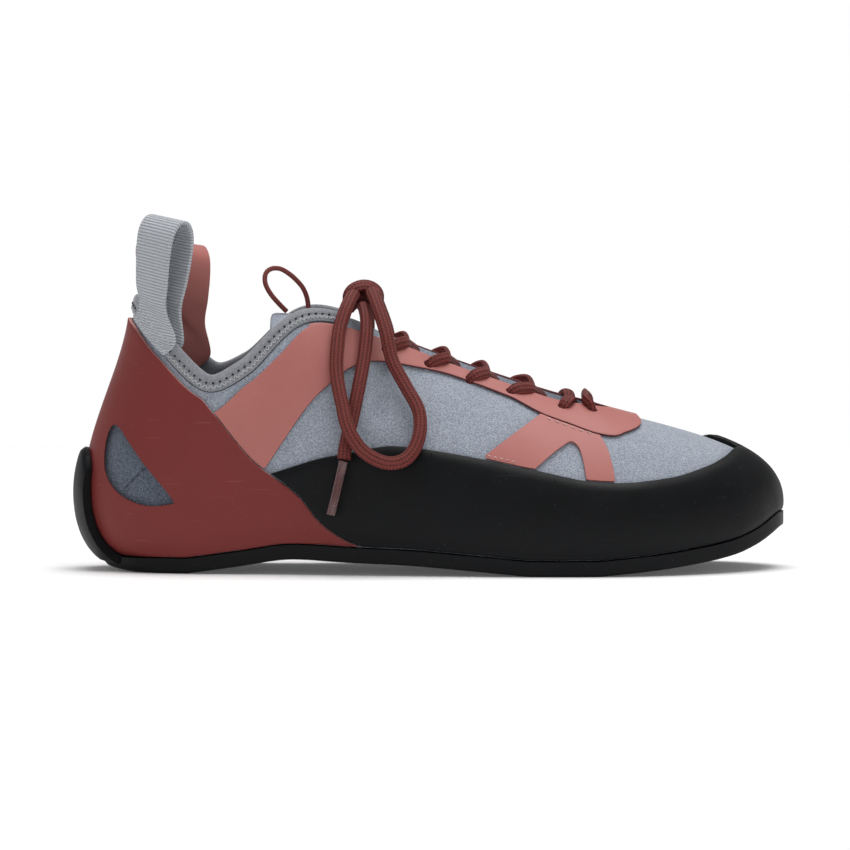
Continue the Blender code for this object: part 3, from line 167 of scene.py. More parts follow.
def heel_curl(along):
    """How far the sole's edge curls up under the heel at this x."""
    share = np.asarray(along, float) / LAST_LENGTH
    return HEEL_CURL_RISE * np.where(share < HEEL_CURL[-1][0], smooth_through(HEEL_CURL, share), 0.0)


def sole_top(along):
    """Height of the sole's top at this x."""
    return sole_rise(along) + SOLE_TOP


# %% [markdown]
# The table becomes a closed ring of 24 stations. Between them a cubic gives any station, and two
# Bezier curves make each rib: one under the widest line, one above it. `skin(t, v)` is the outer
# surface of the shoe at station `t` and height share `v`, and everything else is drawn on it.
# %% The last as one function
def last_table():
    """The sections as a closed ring of 24 stations, in metres."""
    heights = {"heel": HEEL_HEIGHT, "instep": INSTEP_HEIGHT}

    def station(row, side):
        """One row of the table as metres and radians, on one side of the shoe."""
        cell = dict(zip(SECTION_COLUMNS, row))
        name = "outer" if side < 0 else "inner"
        return (
            cell["along"] * LAST_LENGTH,
            side * cell[name] * BALL_WIDTH,
            cell["belly"] * INSTEP_HEIGHT,
            cell["tuck"] * BALL_WIDTH,
            cell["mouth_along"] * LAST_LENGTH,
            side * cell["mouth_" + name] * BALL_WIDTH,
            SOLE_TOP + cell["rim_" + name] * heights[cell["height"]],
            math.radians(cell["slope"]),
            cell["roll"],
            cell["low_reach"],
            cell["high_reach"],
        )

    outer = [station(row, -1) for row in SECTIONS]
    inner = [station(row, 1) for row in SECTIONS[1:-1]]
    return np.array(outer + inner[::-1])


LAST = last_table()


def cubic(before, start, end, after, share):
    """A share of the way from start to end, on a smooth curve that heeds their neighbours."""
    return 0.5 * (
        2 * start + (end - before) * share
        + (2 * before - 5 * start + 4 * end - after) * share ** 2
        + (3 * start - before - 3 * end + after) * share ** 3
    )


def ring(t):
    """The table's columns at station t, through a closed cubic that passes through each row."""
    t = np.asarray(t, float)
    i = np.floor(t).astype(int)
    return cubic(*(LAST[(i + k) % STATIONS] for k in (-1, 0, 1, 2)), (t - i)[..., None])


def bezier(p, q, r, w, s):
    """The curve from p to w that is drawn towards q and r."""
    s = s[..., None]
    return p * (1 - s) ** 3 + 3 * q * s * (1 - s) ** 2 + 3 * r * s ** 2 * (1 - s) + w * s ** 3


# %% The skin of the last
def outward(t):
    """The widest line's horizontal normal at station t."""
    run = ring(np.asarray(t, float) + 1e-3)[..., :2] - ring(np.asarray(t, float) - 1e-3)[..., :2]
    run /= np.linalg.norm(run, axis=-1, keepdims=True)
    return np.stack([run[..., 1], -run[..., 0], np.zeros(run.shape[:-1])], -1)


def skin(t, v):
    """The upper's outer surface: station t, and v from 0 at the feather line to 1 at the mouth."""
    t, v = np.broadcast_arrays(np.asarray(t, float), np.asarray(v, float))
    cell = ring(t)
    x, y, belly, tuck, mouth_x, mouth_y, mouth_z, slope, roll, low_reach, high_reach = (
        cell[..., i] for i in range(11)
    )
    out, up = outward(t), np.array([0.0, 0.0, 1.0])
    widest = np.stack([x, y, sole_top(x) + belly], -1)
    feather = widest - out * tuck[..., None]
    feather[..., 2] = sole_top(feather[..., 0])
    rise = (widest - feather)[..., 2:]
    roll = roll[..., None]
    under = LOWER_FULLNESS * tuck[..., None] * out
    beside = 0.35 * tuck[..., None] * out + 0.4 * rise * up
    low_1 = feather + roll * under + (1 - roll) * beside
    low_2 = widest - LOWER_FULLNESS * rise * up
    mouth = np.stack([mouth_x, mouth_y, mouth_z], -1)
    reach = np.linalg.norm(mouth - widest, axis=-1, keepdims=True)
    side = widest - mouth + 0.3 * reach * out
    side[..., 2] = 0
    side /= np.linalg.norm(side, axis=-1, keepdims=True)
    high_1 = widest + low_reach[..., None] * reach * up
    fall = np.cos(slope)[..., None] * side - np.sin(slope)[..., None] * up
    high_2 = mouth + high_reach[..., None] * reach * fall
    below = bezier(feather, low_1, low_2, widest, np.clip(v / BELLY_SHARE, 0, 1))
    above = bezier(widest, high_1, high_2, mouth, np.clip((v - BELLY_SHARE) / (1 - BELLY_SHARE), 0, 1))
    return np.where((v < BELLY_SHARE)[..., None], below, above)


# %% Slopes and normals of the skin
def slopes(t, v):
    """The skin's steps along the ring and up the rib, one sided at feather and mouth."""
    t, v = np.broadcast_arrays(np.asarray(t, float), np.asarray(v, float))
    step = 2e-3
    above, below = np.minimum(v + step, 1), np.maximum(v - step, 0)
    along = (skin(t + step, v) - skin(t - step, v)) / (2 * step)
    up = (skin(t, above) - skin(t, below)) / (above - below)[..., None]
    return along, up


def normal(t, v):
    """The direction straight out of the skin."""
    along, up = slopes(t, v)
    n = np.cross(along, up)
    return n / np.linalg.norm(n, axis=-1, keepdims=True)


def offset(t, v, distance):
    """A point this far out from the skin."""
    return skin(t, v) + normal(t, v) * np.asarray(distance, float)[..., None]


def step_up(t, v, distance):
    """v moved up the rib by a real distance."""
    return v + distance / np.linalg.norm(slopes(t, v)[1], axis=-1)


def place(points):
    """Last coordinates, which start at the heel's back, to the shoe's own frame."""
    moved = np.array(points, float)
    moved[..., 0] -= HEEL_REST_ALONG * LAST_LENGTH
    return moved


# %% [markdown]
# The panels' outlines are known from the side, as shares of length and height. `find` looks up which
# station and height share of the skin lies at such a place, so an outline drawn on the side view
# becomes a line on the curved wall. It starts at the nearest point of a coarse net, and then walks
# down the skin's slopes in steps that are kept short, so that none of them leaves the shoe.
# %% Outlines from the side view to lines on the last
FIND_STEPS = 12
LONGEST_STEP = (0.3, 0.1)


def find(side, places):
    """Station and v of the points that lie at these (along, height) places, seen from one side."""
    places = np.atleast_2d(np.asarray(places, float))
    target = np.stack([places[:, 0] * LAST_LENGTH, SOLE_TOP + places[:, 1] * INSTEP_HEIGHT], -1)
    first = 0.0 if side < 0 else float(TOE)
    net_t, net_v = np.linspace(first + 0.1, first + TOE - 0.1, 90), np.linspace(0, 1, 41)
    tt, vv = np.meshgrid(net_t, net_v, indexing="ij")
    seen = skin(tt, vv)[..., [0, 2]]
    t, v = np.empty(len(target)), np.empty(len(target))
    for i, goal in enumerate(target):
        nearest = np.unravel_index(np.argmin(((seen - goal) ** 2).sum(-1)), tt.shape)
        t[i], v[i] = tt[nearest], vv[nearest]
    far_t, far_v = LONGEST_STEP
    for _ in range(FIND_STEPS):
        off = target - skin(t, v)[:, [0, 2]]
        along, up = slopes(t, v)
        a, b, c, d = along[:, 0], up[:, 0], along[:, 2], up[:, 2]
        scale = a * d - b * c
        scale = np.where(np.abs(scale) < 1e-9, 1e-9, scale)
        t = t + np.clip((d * off[:, 0] - b * off[:, 1]) / scale, -far_t, far_t)
        v = np.clip(v + np.clip((a * off[:, 1] - c * off[:, 0]) / scale, -far_v, far_v), 0, 1)
    return t, v


# %% Edges as functions of the station
def edge_line(side, places):
    """An outline as a function of the station: v(t)."""
    points = sorted(zip(*find(side, places)))
    return lambda at: smooth_through(points, at)


def round_the_toe(outer_places, inner_places, toe_along):
    """An edge as v(t) from the outer side round the toe to the inner side."""
    points = list(zip(*find(-1, outer_places))) + list(zip(*find(1, inner_places)))
    v = np.linspace(BELLY_SHARE, 1, 200)
    x = skin(np.full(200, float(TOE)), v)[:, 0]
    points.append((TOE, float(np.interp(-toe_along * LAST_LENGTH, -x, v))))
    points.sort()
    return lambda at: smooth_through(points, at)


def clear_of_sole(t, distance):
    """The lowest v at which a layer this far out stands on the sole's top."""
    t = np.asarray(t, float)
    tt, vv = np.meshgrid(t, np.linspace(0, BELLY_SHARE, 120), indexing="ij")
    p = offset(tt, vv, np.broadcast_to(np.reshape(distance, (-1, 1)), tt.shape))
    free = p[..., 2] >= sole_top(p[..., 0])
    return vv[0][np.argmax(free, axis=1)]


# %% Outlines of the panels
# Points on the side view, as shares of length and height
SLING_FRONT = ((0.108, 0.826), (0.137, 0.733), (0.166, 0.665), (0.185, 0.602), (0.260, 0.362),
               (0.321, 0.213), (0.382, 0.070), (0.400, 0.030))
RAND_TOP_OUTER = ((0.230, 0.330), (0.265, 0.352), (0.362, 0.431), (0.445, 0.467), (0.566, 0.413),
                  (0.640, 0.367), (0.715, 0.322), (0.780, 0.314), (0.835, 0.330), (0.885, 0.366),
                  (0.916, 0.402), (0.934, 0.432))
RAND_TOP_INNER = ((0.230, 0.330), (0.265, 0.352), (0.362, 0.420), (0.445, 0.440), (0.566, 0.410),
                  (0.690, 0.380), (0.790, 0.395), (0.855, 0.440), (0.898, 0.480), (0.926, 0.476))
RAND_TOE_ALONG = 0.938
EYESTAY_LOW = ((0.240, 0.300), (0.259, 0.372), (0.280, 0.463), (0.316, 0.615), (0.351, 0.723),
               (0.380, 0.785), (0.415, 0.810), (0.457, 0.792), (0.525, 0.746), (0.607, 0.658),
               (0.652, 0.591), (0.694, 0.546), (0.737, 0.505), (0.757, 0.497), (0.774, 0.510))
EYESTAY_TOE_ALONG = 0.792
EYESTAY_HIGH = ((0.185, 0.602), (0.236, 0.724), (0.280, 0.838), (0.322, 0.955))

sling_edge = edge_line(-1, SLING_FRONT)
rand_top = round_the_toe(RAND_TOP_OUTER, RAND_TOP_INNER, RAND_TOE_ALONG)
eyestay_low = round_the_toe(EYESTAY_LOW, EYESTAY_LOW, EYESTAY_TOE_ALONG)


def sling_front(t):
    """v of the heel sling's front edge, the same on both sides."""
    t = np.asarray(t, float) % STATIONS
    return sling_edge(np.minimum(t, STATIONS - t))


print("last:", len(LAST), "stations,", round(LAST_LENGTH * 1000), "mm long")


# %% [markdown]
# ## Helpers for meshes
# Every fine piece starts as a flat grid primitive. Its vertices are then moved onto the last, column
# by column and row by row, and the grid's own UV map is rewritten in metres, so that a weave or rib
# keeps its real pitch wherever the piece bends.
# %% Small helpers
def walked(points):
    """How far along a line of points each of them lies."""
    return np.concatenate([[0], np.cumsum(np.linalg.norm(np.diff(points, axis=0), axis=1))])


def between(at, known, points):
    """Points read off a line of points at other places along it."""
    return np.stack([np.interp(at, known, points[:, k]) for k in range(3)], -1)


def vertex_places(mesh):
    """The places of a mesh's vertices, one row each."""
    flat = np.empty(len(mesh.vertices) * 3)
    mesh.vertices.foreach_get("co", flat)
    return flat.reshape(-1, 3)


def select_only(piece):
    """Selects one piece and makes it the active one, which operators work on."""
    bpy.ops.object.select_all(action="DESELECT")
    piece.select_set(True)
    bpy.context.view_layer.objects.active = piece


# %% A grid laid onto points
def real_lengths(points):
    """Per point, the mean way across the columns and its own way up the rows from the middle."""
    across = np.linalg.norm(np.diff(points, axis=0), axis=-1).mean(axis=1)
    up = np.linalg.norm(np.diff(points, axis=1), axis=-1)
    u = np.concatenate([[0], np.cumsum(across)])
    v = np.concatenate([np.zeros((len(points), 1)), np.cumsum(up, axis=1)], 1)
    v -= v[:, [v.shape[1] // 2]]
    return np.stack([np.repeat(u[:, None], v.shape[1], 1), v], -1)


def drape(name, points, edge_rows=()):
    """A grid primitive moved onto points, indexed [column][row]; edge_rows get the second finish."""
    columns, rows = points.shape[:2]
    bpy.ops.object.select_all(action="DESELECT")
    bpy.ops.mesh.primitive_grid_add(x_subdivisions=columns - 1, y_subdivisions=rows - 1, size=2)
    piece = bpy.context.object
    piece.name = piece.data.name = name
    mesh = piece.data
    flat = vertex_places(mesh)
    column = np.rint((flat[:, 0] + 1) / 2 * (columns - 1)).astype(int)
    row = np.rint((flat[:, 1] + 1) / 2 * (rows - 1)).astype(int)
    mesh.vertices.foreach_set("co", points[column, row].ravel())
    corner = np.empty(len(mesh.loops), int)
    mesh.loops.foreach_get("vertex_index", corner)
    uv = real_lengths(points)[column, row]
    mesh.uv_layers[0].data.foreach_set("uv", uv[corner].ravel())
    if len(edge_rows):
        low_row = row[corner].reshape(-1, 4).min(axis=1)
        mesh.polygons.foreach_set("material_index", np.isin(low_row, edge_rows).astype(int))
    return piece


# %% Close, join and hand over pieces
MERGE_DISTANCE = 2e-6


def close_up(piece):
    """Merges the seams, fills open ends and turns the faces outwards."""
    select_only(piece)
    bpy.ops.object.mode_set(mode="EDIT")
    bpy.ops.mesh.select_all(action="SELECT")
    bpy.ops.mesh.remove_doubles(threshold=MERGE_DISTANCE)
    bpy.ops.mesh.dissolve_degenerate(threshold=1e-6)
    bpy.ops.mesh.fill_holes(sides=0)
    bpy.ops.mesh.select_all(action="SELECT")
    bpy.ops.mesh.normals_make_consistent(inside=False)
    bpy.ops.object.mode_set(mode="OBJECT")


def join(name, pieces):
    """Makes one object of several; the first gives its finishes' order."""
    select_only(pieces[0])
    for piece in pieces[1:]:
        piece.select_set(True)
    bpy.ops.object.join()
    joined = bpy.context.object
    joined.name = joined.data.name = name
    return joined


def apply(piece, kind, **settings):
    """Adds a modifier with these settings and applies it."""
    modifier = piece.modifiers.new(kind.lower(), kind)
    for setting, value in settings.items():
        setattr(modifier, setting, value)
    bpy.context.view_layer.objects.active = piece
    bpy.ops.object.modifier_apply(modifier=modifier.name)


def hand_over(piece, finishes, nodes=(), angle=50):
    """Smooths the faces, paints the piece, and says which solids it stands for."""
    select_only(piece)
    bpy.ops.object.shade_smooth_by_angle(angle=math.radians(angle))
    for finish in finishes:
        piece.data.materials.append(finish)
    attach(piece, "root")
    if nodes:
        piece.name = nodes[0] + "_fine"
        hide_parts(*nodes)
    print(f"{piece.name}: {len(piece.data.polygons)} faces")


# %% [markdown]
# A glued layer, such as a rand or an overlay, is a thin sheet with rounded edges. Its cross-section is
# one closed loop: up the outside, over the rounded edge, and down the inside against the upper.
# %% A layer with rounded edges
ROUND_STEPS = 4
INSIDE_ROWS = 5
SKIVE_WIDTH = 0.0016


def layer_points(t, low, high, near, far, rounding, rows=12, skive=0.0):
    """Closed cross-sections of a layer, indexed [station][round]; skive thins its upper edge."""
    rate = np.linalg.norm(slopes(t, (low + high) / 2)[1], axis=-1)
    width = (high - low) * rate
    bend = np.minimum(rounding, width / 2)[:, None]
    turn = np.linspace(0, math.pi / 2, ROUND_STEPS)[None, :]
    lower = low[:, None] + bend / rate[:, None] * (1 - np.cos(turn))
    upper = high[:, None] - bend / rate[:, None] * (1 - np.cos(turn[:, ::-1]))
    edge = far - bend * (1 - np.sin(turn))
    share = np.linspace(0, 1, rows)[None, 1:-1]
    middle = lower[:, -1:] + (upper[:, :1] - lower[:, -1:]) * share
    v_out = np.concatenate([lower, middle, upper], 1)
    d_out = np.concatenate([edge, np.full(middle.shape, far), edge[:, ::-1]], 1)
    if skive:
        from_edge = (high[:, None] - v_out) * rate[:, None]
        d_out = d_out - skive * np.exp(-((from_edge / SKIVE_WIDTH) ** 2))
    v_in = high[:, None] + (low - high)[:, None] * np.linspace(0, 1, INSIDE_ROWS)[None, :]
    v = np.concatenate([v_out, v_in, v_out[:, :1]], 1)
    d = np.concatenate([d_out, np.full(v_in.shape, near), d_out[:, :1]], 1)
    return offset(np.repeat(t[:, None], v.shape[1], 1), v, d)


def layer_edge_rows(rows=12):
    """Numbers of the rows of a layer that make its two rims."""
    last = 2 * ROUND_STEPS + rows - 2
    return [0, last - 2, last - 1, last + INSIDE_ROWS - 1]


# %% [markdown]
# ## Helpers for finishes
# Colours are noted as they look on the screen, in hex, and one function turns them to the linear
# values that the renderer wants. Another adds a node with its settings and links, and returns one of
# its outputs, so each finish below reads as a short list of steps.
# %% Colour and node helpers
def paint(hex_colour):
    """A screen colour in hex as linear values and full cover."""
    srgb = [int(hex_colour[i:i + 2], 16) / 255 for i in (0, 2, 4)]
    linear = [c / 12.92 if c <= 0.04045 else ((c + 0.055) / 1.055) ** 2.4 for c in srgb]
    return (*linear, 1.0)


def connect(tree, node, inputs):
    """Gives a node its inputs: a plain value, a hex colour, or another node's output."""
    for name, value in inputs.items():
        if isinstance(value, bpy.types.NodeSocket):
            tree.links.new(value, node.inputs[name])
        else:
            node.inputs[name].default_value = paint(value) if isinstance(value, str) else value


def add_node(tree, kind, inputs, output=0, **settings):
    """Adds a node with its links and settings, and returns one of its outputs."""
    made = tree.nodes.new("ShaderNode" + kind)
    for name, value in settings.items():
        setattr(made, name, value)
    connect(tree, made, inputs)
    return made.outputs[output]


def new_finish(name):
    """A material, its node tree and its shader."""
    made = bpy.data.materials.new(name)
    made.use_nodes = True
    return made, made.node_tree, made.node_tree.nodes["Principled BSDF"]


COLOUR = {"data_type": "RGBA", "output": 2}

# %% [markdown]
# ## Suede
# The upper is split leather, ground on its flesh side, so short fibres stand up and scatter the light.
# That gives no gloss at all, a soft sheen at grazing angles, and fine specks where fibres lie in
# different ways. Real fibres are finer than a pixel, so the specks are drawn at about 0.6 mm.
# A vertex attribute named shade darkens the panel that shows through the heel's window: painted shade.
# %% Suede
def make_suede(name, light, middle, speck, dark_light, dark_speck):
    """Fuzzy leather with specks; the two dark colours are painted shade, for the part that the shade
    attribute marks.
    """
    finish, tree, shader = new_finish(name)
    where = add_node(tree, "TexCoord", {}, "Object")
    fibres = add_node(tree, "TexNoise", {
        "Vector": where, "Scale": 1 / 0.00055, "Detail": 3, "Roughness": 0.65,
    })
    clumps = add_node(tree, "TexNoise", {"Vector": where, "Scale": 1 / 0.0028})
    patches = add_node(tree, "TexNoise", {"Vector": where, "Scale": 1 / 0.024})
    ground = add_node(tree, "Mix", {0: patches, 6: middle, 7: light}, **COLOUR)
    clump_share = add_node(tree, "MapRange", {
        "Value": clumps, "From Min": 0.4, "From Max": 0.75, "To Max": 0.22,
    })
    ground = add_node(tree, "Mix", {0: clump_share, 6: ground, 7: speck}, **COLOUR)
    speck_share = add_node(tree, "MapRange", {
        "Value": fibres, "From Min": 0.58, "From Max": 0.40, "To Max": 0.9,
    })
    lit = add_node(tree, "Mix", {0: speck_share, 6: ground, 7: speck}, **COLOUR)
    dark_share = add_node(tree, "MapRange", {"Value": fibres, "From Min": 0.40, "From Max": 0.62})
    dark = add_node(tree, "Mix", {0: dark_share, 6: dark_speck, 7: dark_light}, **COLOUR)
    shade = add_node(tree, "Attribute", {}, "Fac", attribute_name="shade")
    colour = add_node(tree, "Mix", {0: shade, 6: lit, 7: dark}, **COLOUR)
    soft = add_node(tree, "Bump", {"Height": clumps, "Distance": 0.00025, "Strength": 0.35})
    nap = add_node(tree, "Bump", {"Height": fibres, "Distance": 0.00035, "Strength": 0.7, "Normal": soft})
    connect(tree, shader, {
        "Base Color": colour, "Normal": nap, "Roughness": 0.95, "Sheen Weight": 0.2, "Sheen Roughness": 0.5,
    })
    return finish


suede = make_suede("split_suede", "AEB5C0", "A3AAB6", "78808D", "66707E", "3A424E")

# %% [markdown]
# ## Microfibre
# The coral overlays are a smooth coated microfibre, cut from a sheet and glued on. It is even in
# colour and slightly satin, with a fine embossed grain. Where it is cut, its darker core shows as a
# thin line, so the rims get a finish of their own.
# %% Coral microfibre and the cut edges
def make_microfibre(name, light, dark, roughness):
    """A smooth coated sheet, faintly cloudy."""
    finish, tree, shader = new_finish(name)
    where = add_node(tree, "TexCoord", {}, "Object")
    drift = add_node(tree, "TexNoise", {"Vector": where, "Scale": 1 / 0.030})
    cloud = add_node(tree, "TexNoise", {"Vector": where, "Scale": 1 / 0.0045, "Detail": 3})
    grain = add_node(tree, "TexNoise", {"Vector": where, "Scale": 1 / 0.0007})
    colour = add_node(tree, "Mix", {0: drift, 6: dark, 7: light}, **COLOUR)
    cloud_share = add_node(tree, "MapRange", {
        "Value": cloud, "From Min": 0.4, "From Max": 0.7, "To Max": 0.25,
    })
    colour = add_node(tree, "Mix", {0: cloud_share, 6: colour, 7: dark}, **COLOUR)
    embossed = add_node(tree, "Bump", {"Height": grain, "Distance": 0.00010, "Strength": 0.5})
    connect(tree, shader, {
        "Base Color": colour, "Normal": embossed, "Roughness": roughness, "Specular IOR Level": 0.3,
    })
    return finish


coral = make_microfibre("coated_microfibre", "B4716B", "A8655F", 0.5)
coral_edge = make_microfibre("microfibre_cut_edge", "5C343D", "48282F", 0.8)
# The sling's front rim is buffed rubber, and it is also painted pale as a highlight on its rounded edge.
buffed_edge_and_highlight = make_microfibre("buffed_rubber_edge_and_highlight", "DDA29B", "C2837C", 0.7)

# %% [markdown]
# ## Climbing rubber
# Sole and rand are plain black rubber, calendered as a sheet, then buffed where they are glued. It is
# satin with a soft, slightly patchy gloss, with pale dust in tiny pits. The heel sling is the same
# kind of rubber in dark red, and more worn: fine scratches run down from its front edge.
# %% Black and red rubber
def make_rubber(name, base, patchy, dust, scratch_share, gloss_low, gloss_high, shine):
    """Satin rubber with patches, dusty pits and slanting scratches."""
    finish, tree, shader = new_finish(name)
    where = add_node(tree, "TexCoord", {}, "Object")
    patches = add_node(tree, "TexNoise", {
        "Vector": where, "Scale": 1 / 0.016, "Detail": 4, "Roughness": 0.6,
    })
    grit = add_node(tree, "TexNoise", {
        "Vector": where, "Scale": 1 / 0.0011, "Detail": 3, "Roughness": 0.7,
    })
    rolled = add_node(tree, "TexNoise", {"Vector": where, "Scale": 1 / 0.009})
    turned = add_node(tree, "Mapping", {
        "Vector": where, "Rotation": (0, 0.95, 0), "Scale": (45, 200, 2600),
    })
    streaks = add_node(tree, "TexNoise", {"Vector": turned, "Scale": 1.0, "Detail": 1})
    colour = add_node(tree, "Mix", {0: patches, 6: base, 7: patchy}, **COLOUR)
    specks = add_node(tree, "MapRange", {"Value": grit, "From Min": 0.66, "From Max": 0.76, "To Max": 0.4})
    colour = add_node(tree, "Mix", {0: specks, 6: colour, 7: dust}, **COLOUR)
    scratch = add_node(tree, "MapRange", {
        "Value": streaks, "From Min": 0.74, "From Max": 0.80, "To Max": scratch_share,
    })
    colour = add_node(tree, "Mix", {0: scratch, 6: colour, 7: dust}, **COLOUR)
    gloss = add_node(tree, "MapRange", {
        "Value": patches, "From Min": 0.3, "From Max": 0.7, "To Min": gloss_low, "To Max": gloss_high,
    })
    uneven = add_node(tree, "Bump", {"Height": rolled, "Distance": 0.0004, "Strength": 0.25})
    pitted = add_node(tree, "Bump", {
        "Height": grit, "Distance": 0.00012, "Strength": 0.4, "Normal": uneven,
    })
    connect(tree, shader, {
        "Base Color": colour, "Roughness": gloss, "Normal": pitted, "Specular IOR Level": shine,
    })
    return finish


black_rubber = make_rubber("calendered_black_rubber", "090A0B", "121316", "4A4B4E", 0.25, 0.42, 0.56, 0.13)
red_rubber = make_rubber("calendered_red_rubber", "6F2826", "79322F", "A0605A", 0.5, 0.50, 0.64, 0.25)

# %% [markdown]
# ## Knit, webbing and braid
# These three are made of yarn, so their patterns follow the piece and read its UV map, which is in
# metres. The knit is brushed, so its loops only just show. The webbing has a rib every millimetre
# across the tape. The lace is a hollow braid: its yarns run in chevrons between lengthwise ridges.
# %% Knit
def make_knit(name, light, dark):
    """A brushed knit of small loops."""
    finish, tree, shader = new_finish(name)
    where = add_node(tree, "TexCoord", {}, "Object")
    metres = add_node(tree, "UVMap", {}, "UV")
    loops = add_node(tree, "TexVoronoi", {"Vector": metres, "Scale": 1 / 0.0008, "Randomness": 0.35})
    fuzz = add_node(tree, "TexNoise", {
        "Vector": where, "Scale": 1 / 0.0007, "Detail": 3, "Roughness": 0.7,
    })
    patches = add_node(tree, "TexNoise", {"Vector": where, "Scale": 1 / 0.006})
    height = add_node(tree, "Math", {0: loops, 1: -0.35, 2: fuzz}, operation="MULTIPLY_ADD")
    light_share = add_node(tree, "MapRange", {"Value": height, "From Min": 0.15, "From Max": 0.55})
    colour = add_node(tree, "Mix", {0: light_share, 6: dark, 7: light}, **COLOUR)
    worn = add_node(tree, "MapRange", {"Value": patches, "From Min": 0.4, "From Max": 0.7, "To Max": 0.3})
    colour = add_node(tree, "Mix", {0: worn, 6: colour, 7: dark}, **COLOUR)
    yarn = add_node(tree, "Bump", {"Height": height, "Distance": 0.00030, "Strength": 0.5})
    connect(tree, shader, {"Base Color": colour, "Normal": yarn, "Roughness": 0.92, "Sheen Weight": 0.2})
    return finish


knit = make_knit("stretch_knit", "97999E", "72747A")
# The lining knit is drawn dark as painted shade for the inside of the shoe, where it lines the upper and
# the insole.
lining_painted_shade = make_knit("lining_knit_painted_shade", "565A62", "3C4047")


# %% Webbing
def make_webbing(name, light, dark, rib):
    """A woven tape with ribs this far apart."""
    finish, tree, shader = new_finish(name)
    where = add_node(tree, "TexCoord", {}, "Object")
    metres = add_node(tree, "UVMap", {}, "UV")
    ribs = add_node(
        tree, "TexWave", {"Vector": metres, "Scale": math.pi / 10 / rib}, "Fac", bands_direction="Y"
    )
    fuzz = add_node(tree, "TexNoise", {"Vector": where, "Scale": 1 / 0.0006})
    height = add_node(tree, "Math", {0: fuzz, 1: 0.25, 2: ribs}, operation="MULTIPLY_ADD")
    light_share = add_node(tree, "MapRange", {"Value": height, "From Min": 0.1, "From Max": 0.9})
    colour = add_node(tree, "Mix", {0: light_share, 6: dark, 7: light}, **COLOUR)
    woven = add_node(tree, "Bump", {"Height": height, "Distance": 0.00030, "Strength": 0.7})
    connect(tree, shader, {"Base Color": colour, "Normal": woven, "Roughness": 0.75, "Sheen Weight": 0.15})
    return finish


webbing = make_webbing("ribbed_webbing", "B6BABF", "8A8E95", 0.0011)


# %% Braid
def make_braid(name, light, dark, ridge, yarn):
    """A braid, its raised yarns lighter as a painted highlight; ridge and yarn are the pitches of its
    ridges and its slanting yarns.
    """
    finish, tree, shader = new_finish(name)
    where = add_node(tree, "TexCoord", {}, "Object")
    metres = add_node(tree, "UVMap", {}, "UV")
    along = add_node(tree, "SeparateXYZ", {"Vector": metres}, "X")
    around = add_node(tree, "SeparateXYZ", {"Vector": metres}, "Y")
    zigzag = add_node(tree, "Math", {0: around, 1: ridge}, operation="PINGPONG")
    slant = add_node(tree, "Math", {0: zigzag, 1: 0.8, 2: along}, operation="MULTIPLY_ADD")
    turns = add_node(tree, "Math", {0: slant, 1: 2 * math.pi / yarn}, operation="MULTIPLY")
    yarns = add_node(tree, "Math", {0: turns}, operation="SINE")
    fuzz = add_node(tree, "TexNoise", {"Vector": where, "Scale": 1 / 0.0005})
    lifted = add_node(tree, "Math", {0: zigzag, 1: 1.1 / ridge, 2: fuzz}, operation="MULTIPLY_ADD")
    height = add_node(tree, "Math", {0: yarns, 1: 0.32, 2: lifted}, operation="MULTIPLY_ADD")
    # Higher yarn is drawn lighter: a painted highlight on the raised yarns, and painted shade between them.
    light_share = add_node(tree, "MapRange", {"Value": height, "From Min": 0.5, "From Max": 1.6})
    colour = add_node(tree, "Mix", {0: light_share, 6: dark, 7: light}, **COLOUR)
    braided = add_node(tree, "Bump", {"Height": height, "Distance": 0.00022, "Strength": 0.9})
    connect(tree, shader, {
        "Base Color": colour, "Normal": braided, "Roughness": 0.7, "Specular IOR Level": 0.3,
    })
    return finish


lace_braid = make_braid("lace_braid", "7E3732", "4A1D1A", 0.0008, 0.0011)
cord_braid = make_braid("cord_braid", "8A4540", "6A322E", 0.0005, 0.0008)


# %% [markdown]
# ## Thread and clear plastic
# Stitches are smooth polyester thread, which is slightly shiny. The lace tips are clear acetate film,
# shrunk round the lace's end, so the braid shows through and only the gloss gives the film away.
# %% Thread and tips
def make_plain(name, light, dark, roughness):
    """Thread, or another small thing of one colour."""
    finish, tree, shader = new_finish(name)
    where = add_node(tree, "TexCoord", {}, "Object")
    mottle = add_node(tree, "TexNoise", {"Vector": where, "Scale": 1 / 0.0012})
    colour = add_node(tree, "Mix", {0: mottle, 6: dark, 7: light}, **COLOUR)
    twist = add_node(tree, "Bump", {"Height": mottle, "Distance": 0.0001, "Strength": 0.3})
    connect(tree, shader, {"Base Color": colour, "Normal": twist, "Roughness": roughness})
    return finish


pale_thread = make_plain("pale_thread", "C9CCCF", "9C9FA3", 0.6)
pink_thread = make_plain("pink_thread", "DDBDB8", "BC9691", 0.6)
dark_thread = make_plain("dark_thread", "3A4048", "23272D", 0.7)
# The near-black needle_hole finish paints the shade inside the binding's needle holes; the rand's pin marks
# use it too.
needle_hole = make_plain("needle_hole", "1C1D20", "111214", 0.9)

clear_film, film_tree, film_shader = new_finish("clear_acetate")
film_where = add_node(film_tree, "TexCoord", {}, "Object")
smears = add_node(film_tree, "TexNoise", {"Vector": film_where, "Scale": 1 / 0.003})
film_gloss = add_node(film_tree, "MapRange", {"Value": smears, "To Min": 0.04, "To Max": 0.12})
connect(film_tree, film_shader, {
    "Base Color": "F6EFED", "Roughness": film_gloss, "IOR": 1.47, "Transmission Weight": 1.0,
})
print("finishes:", len(bpy.data.materials))


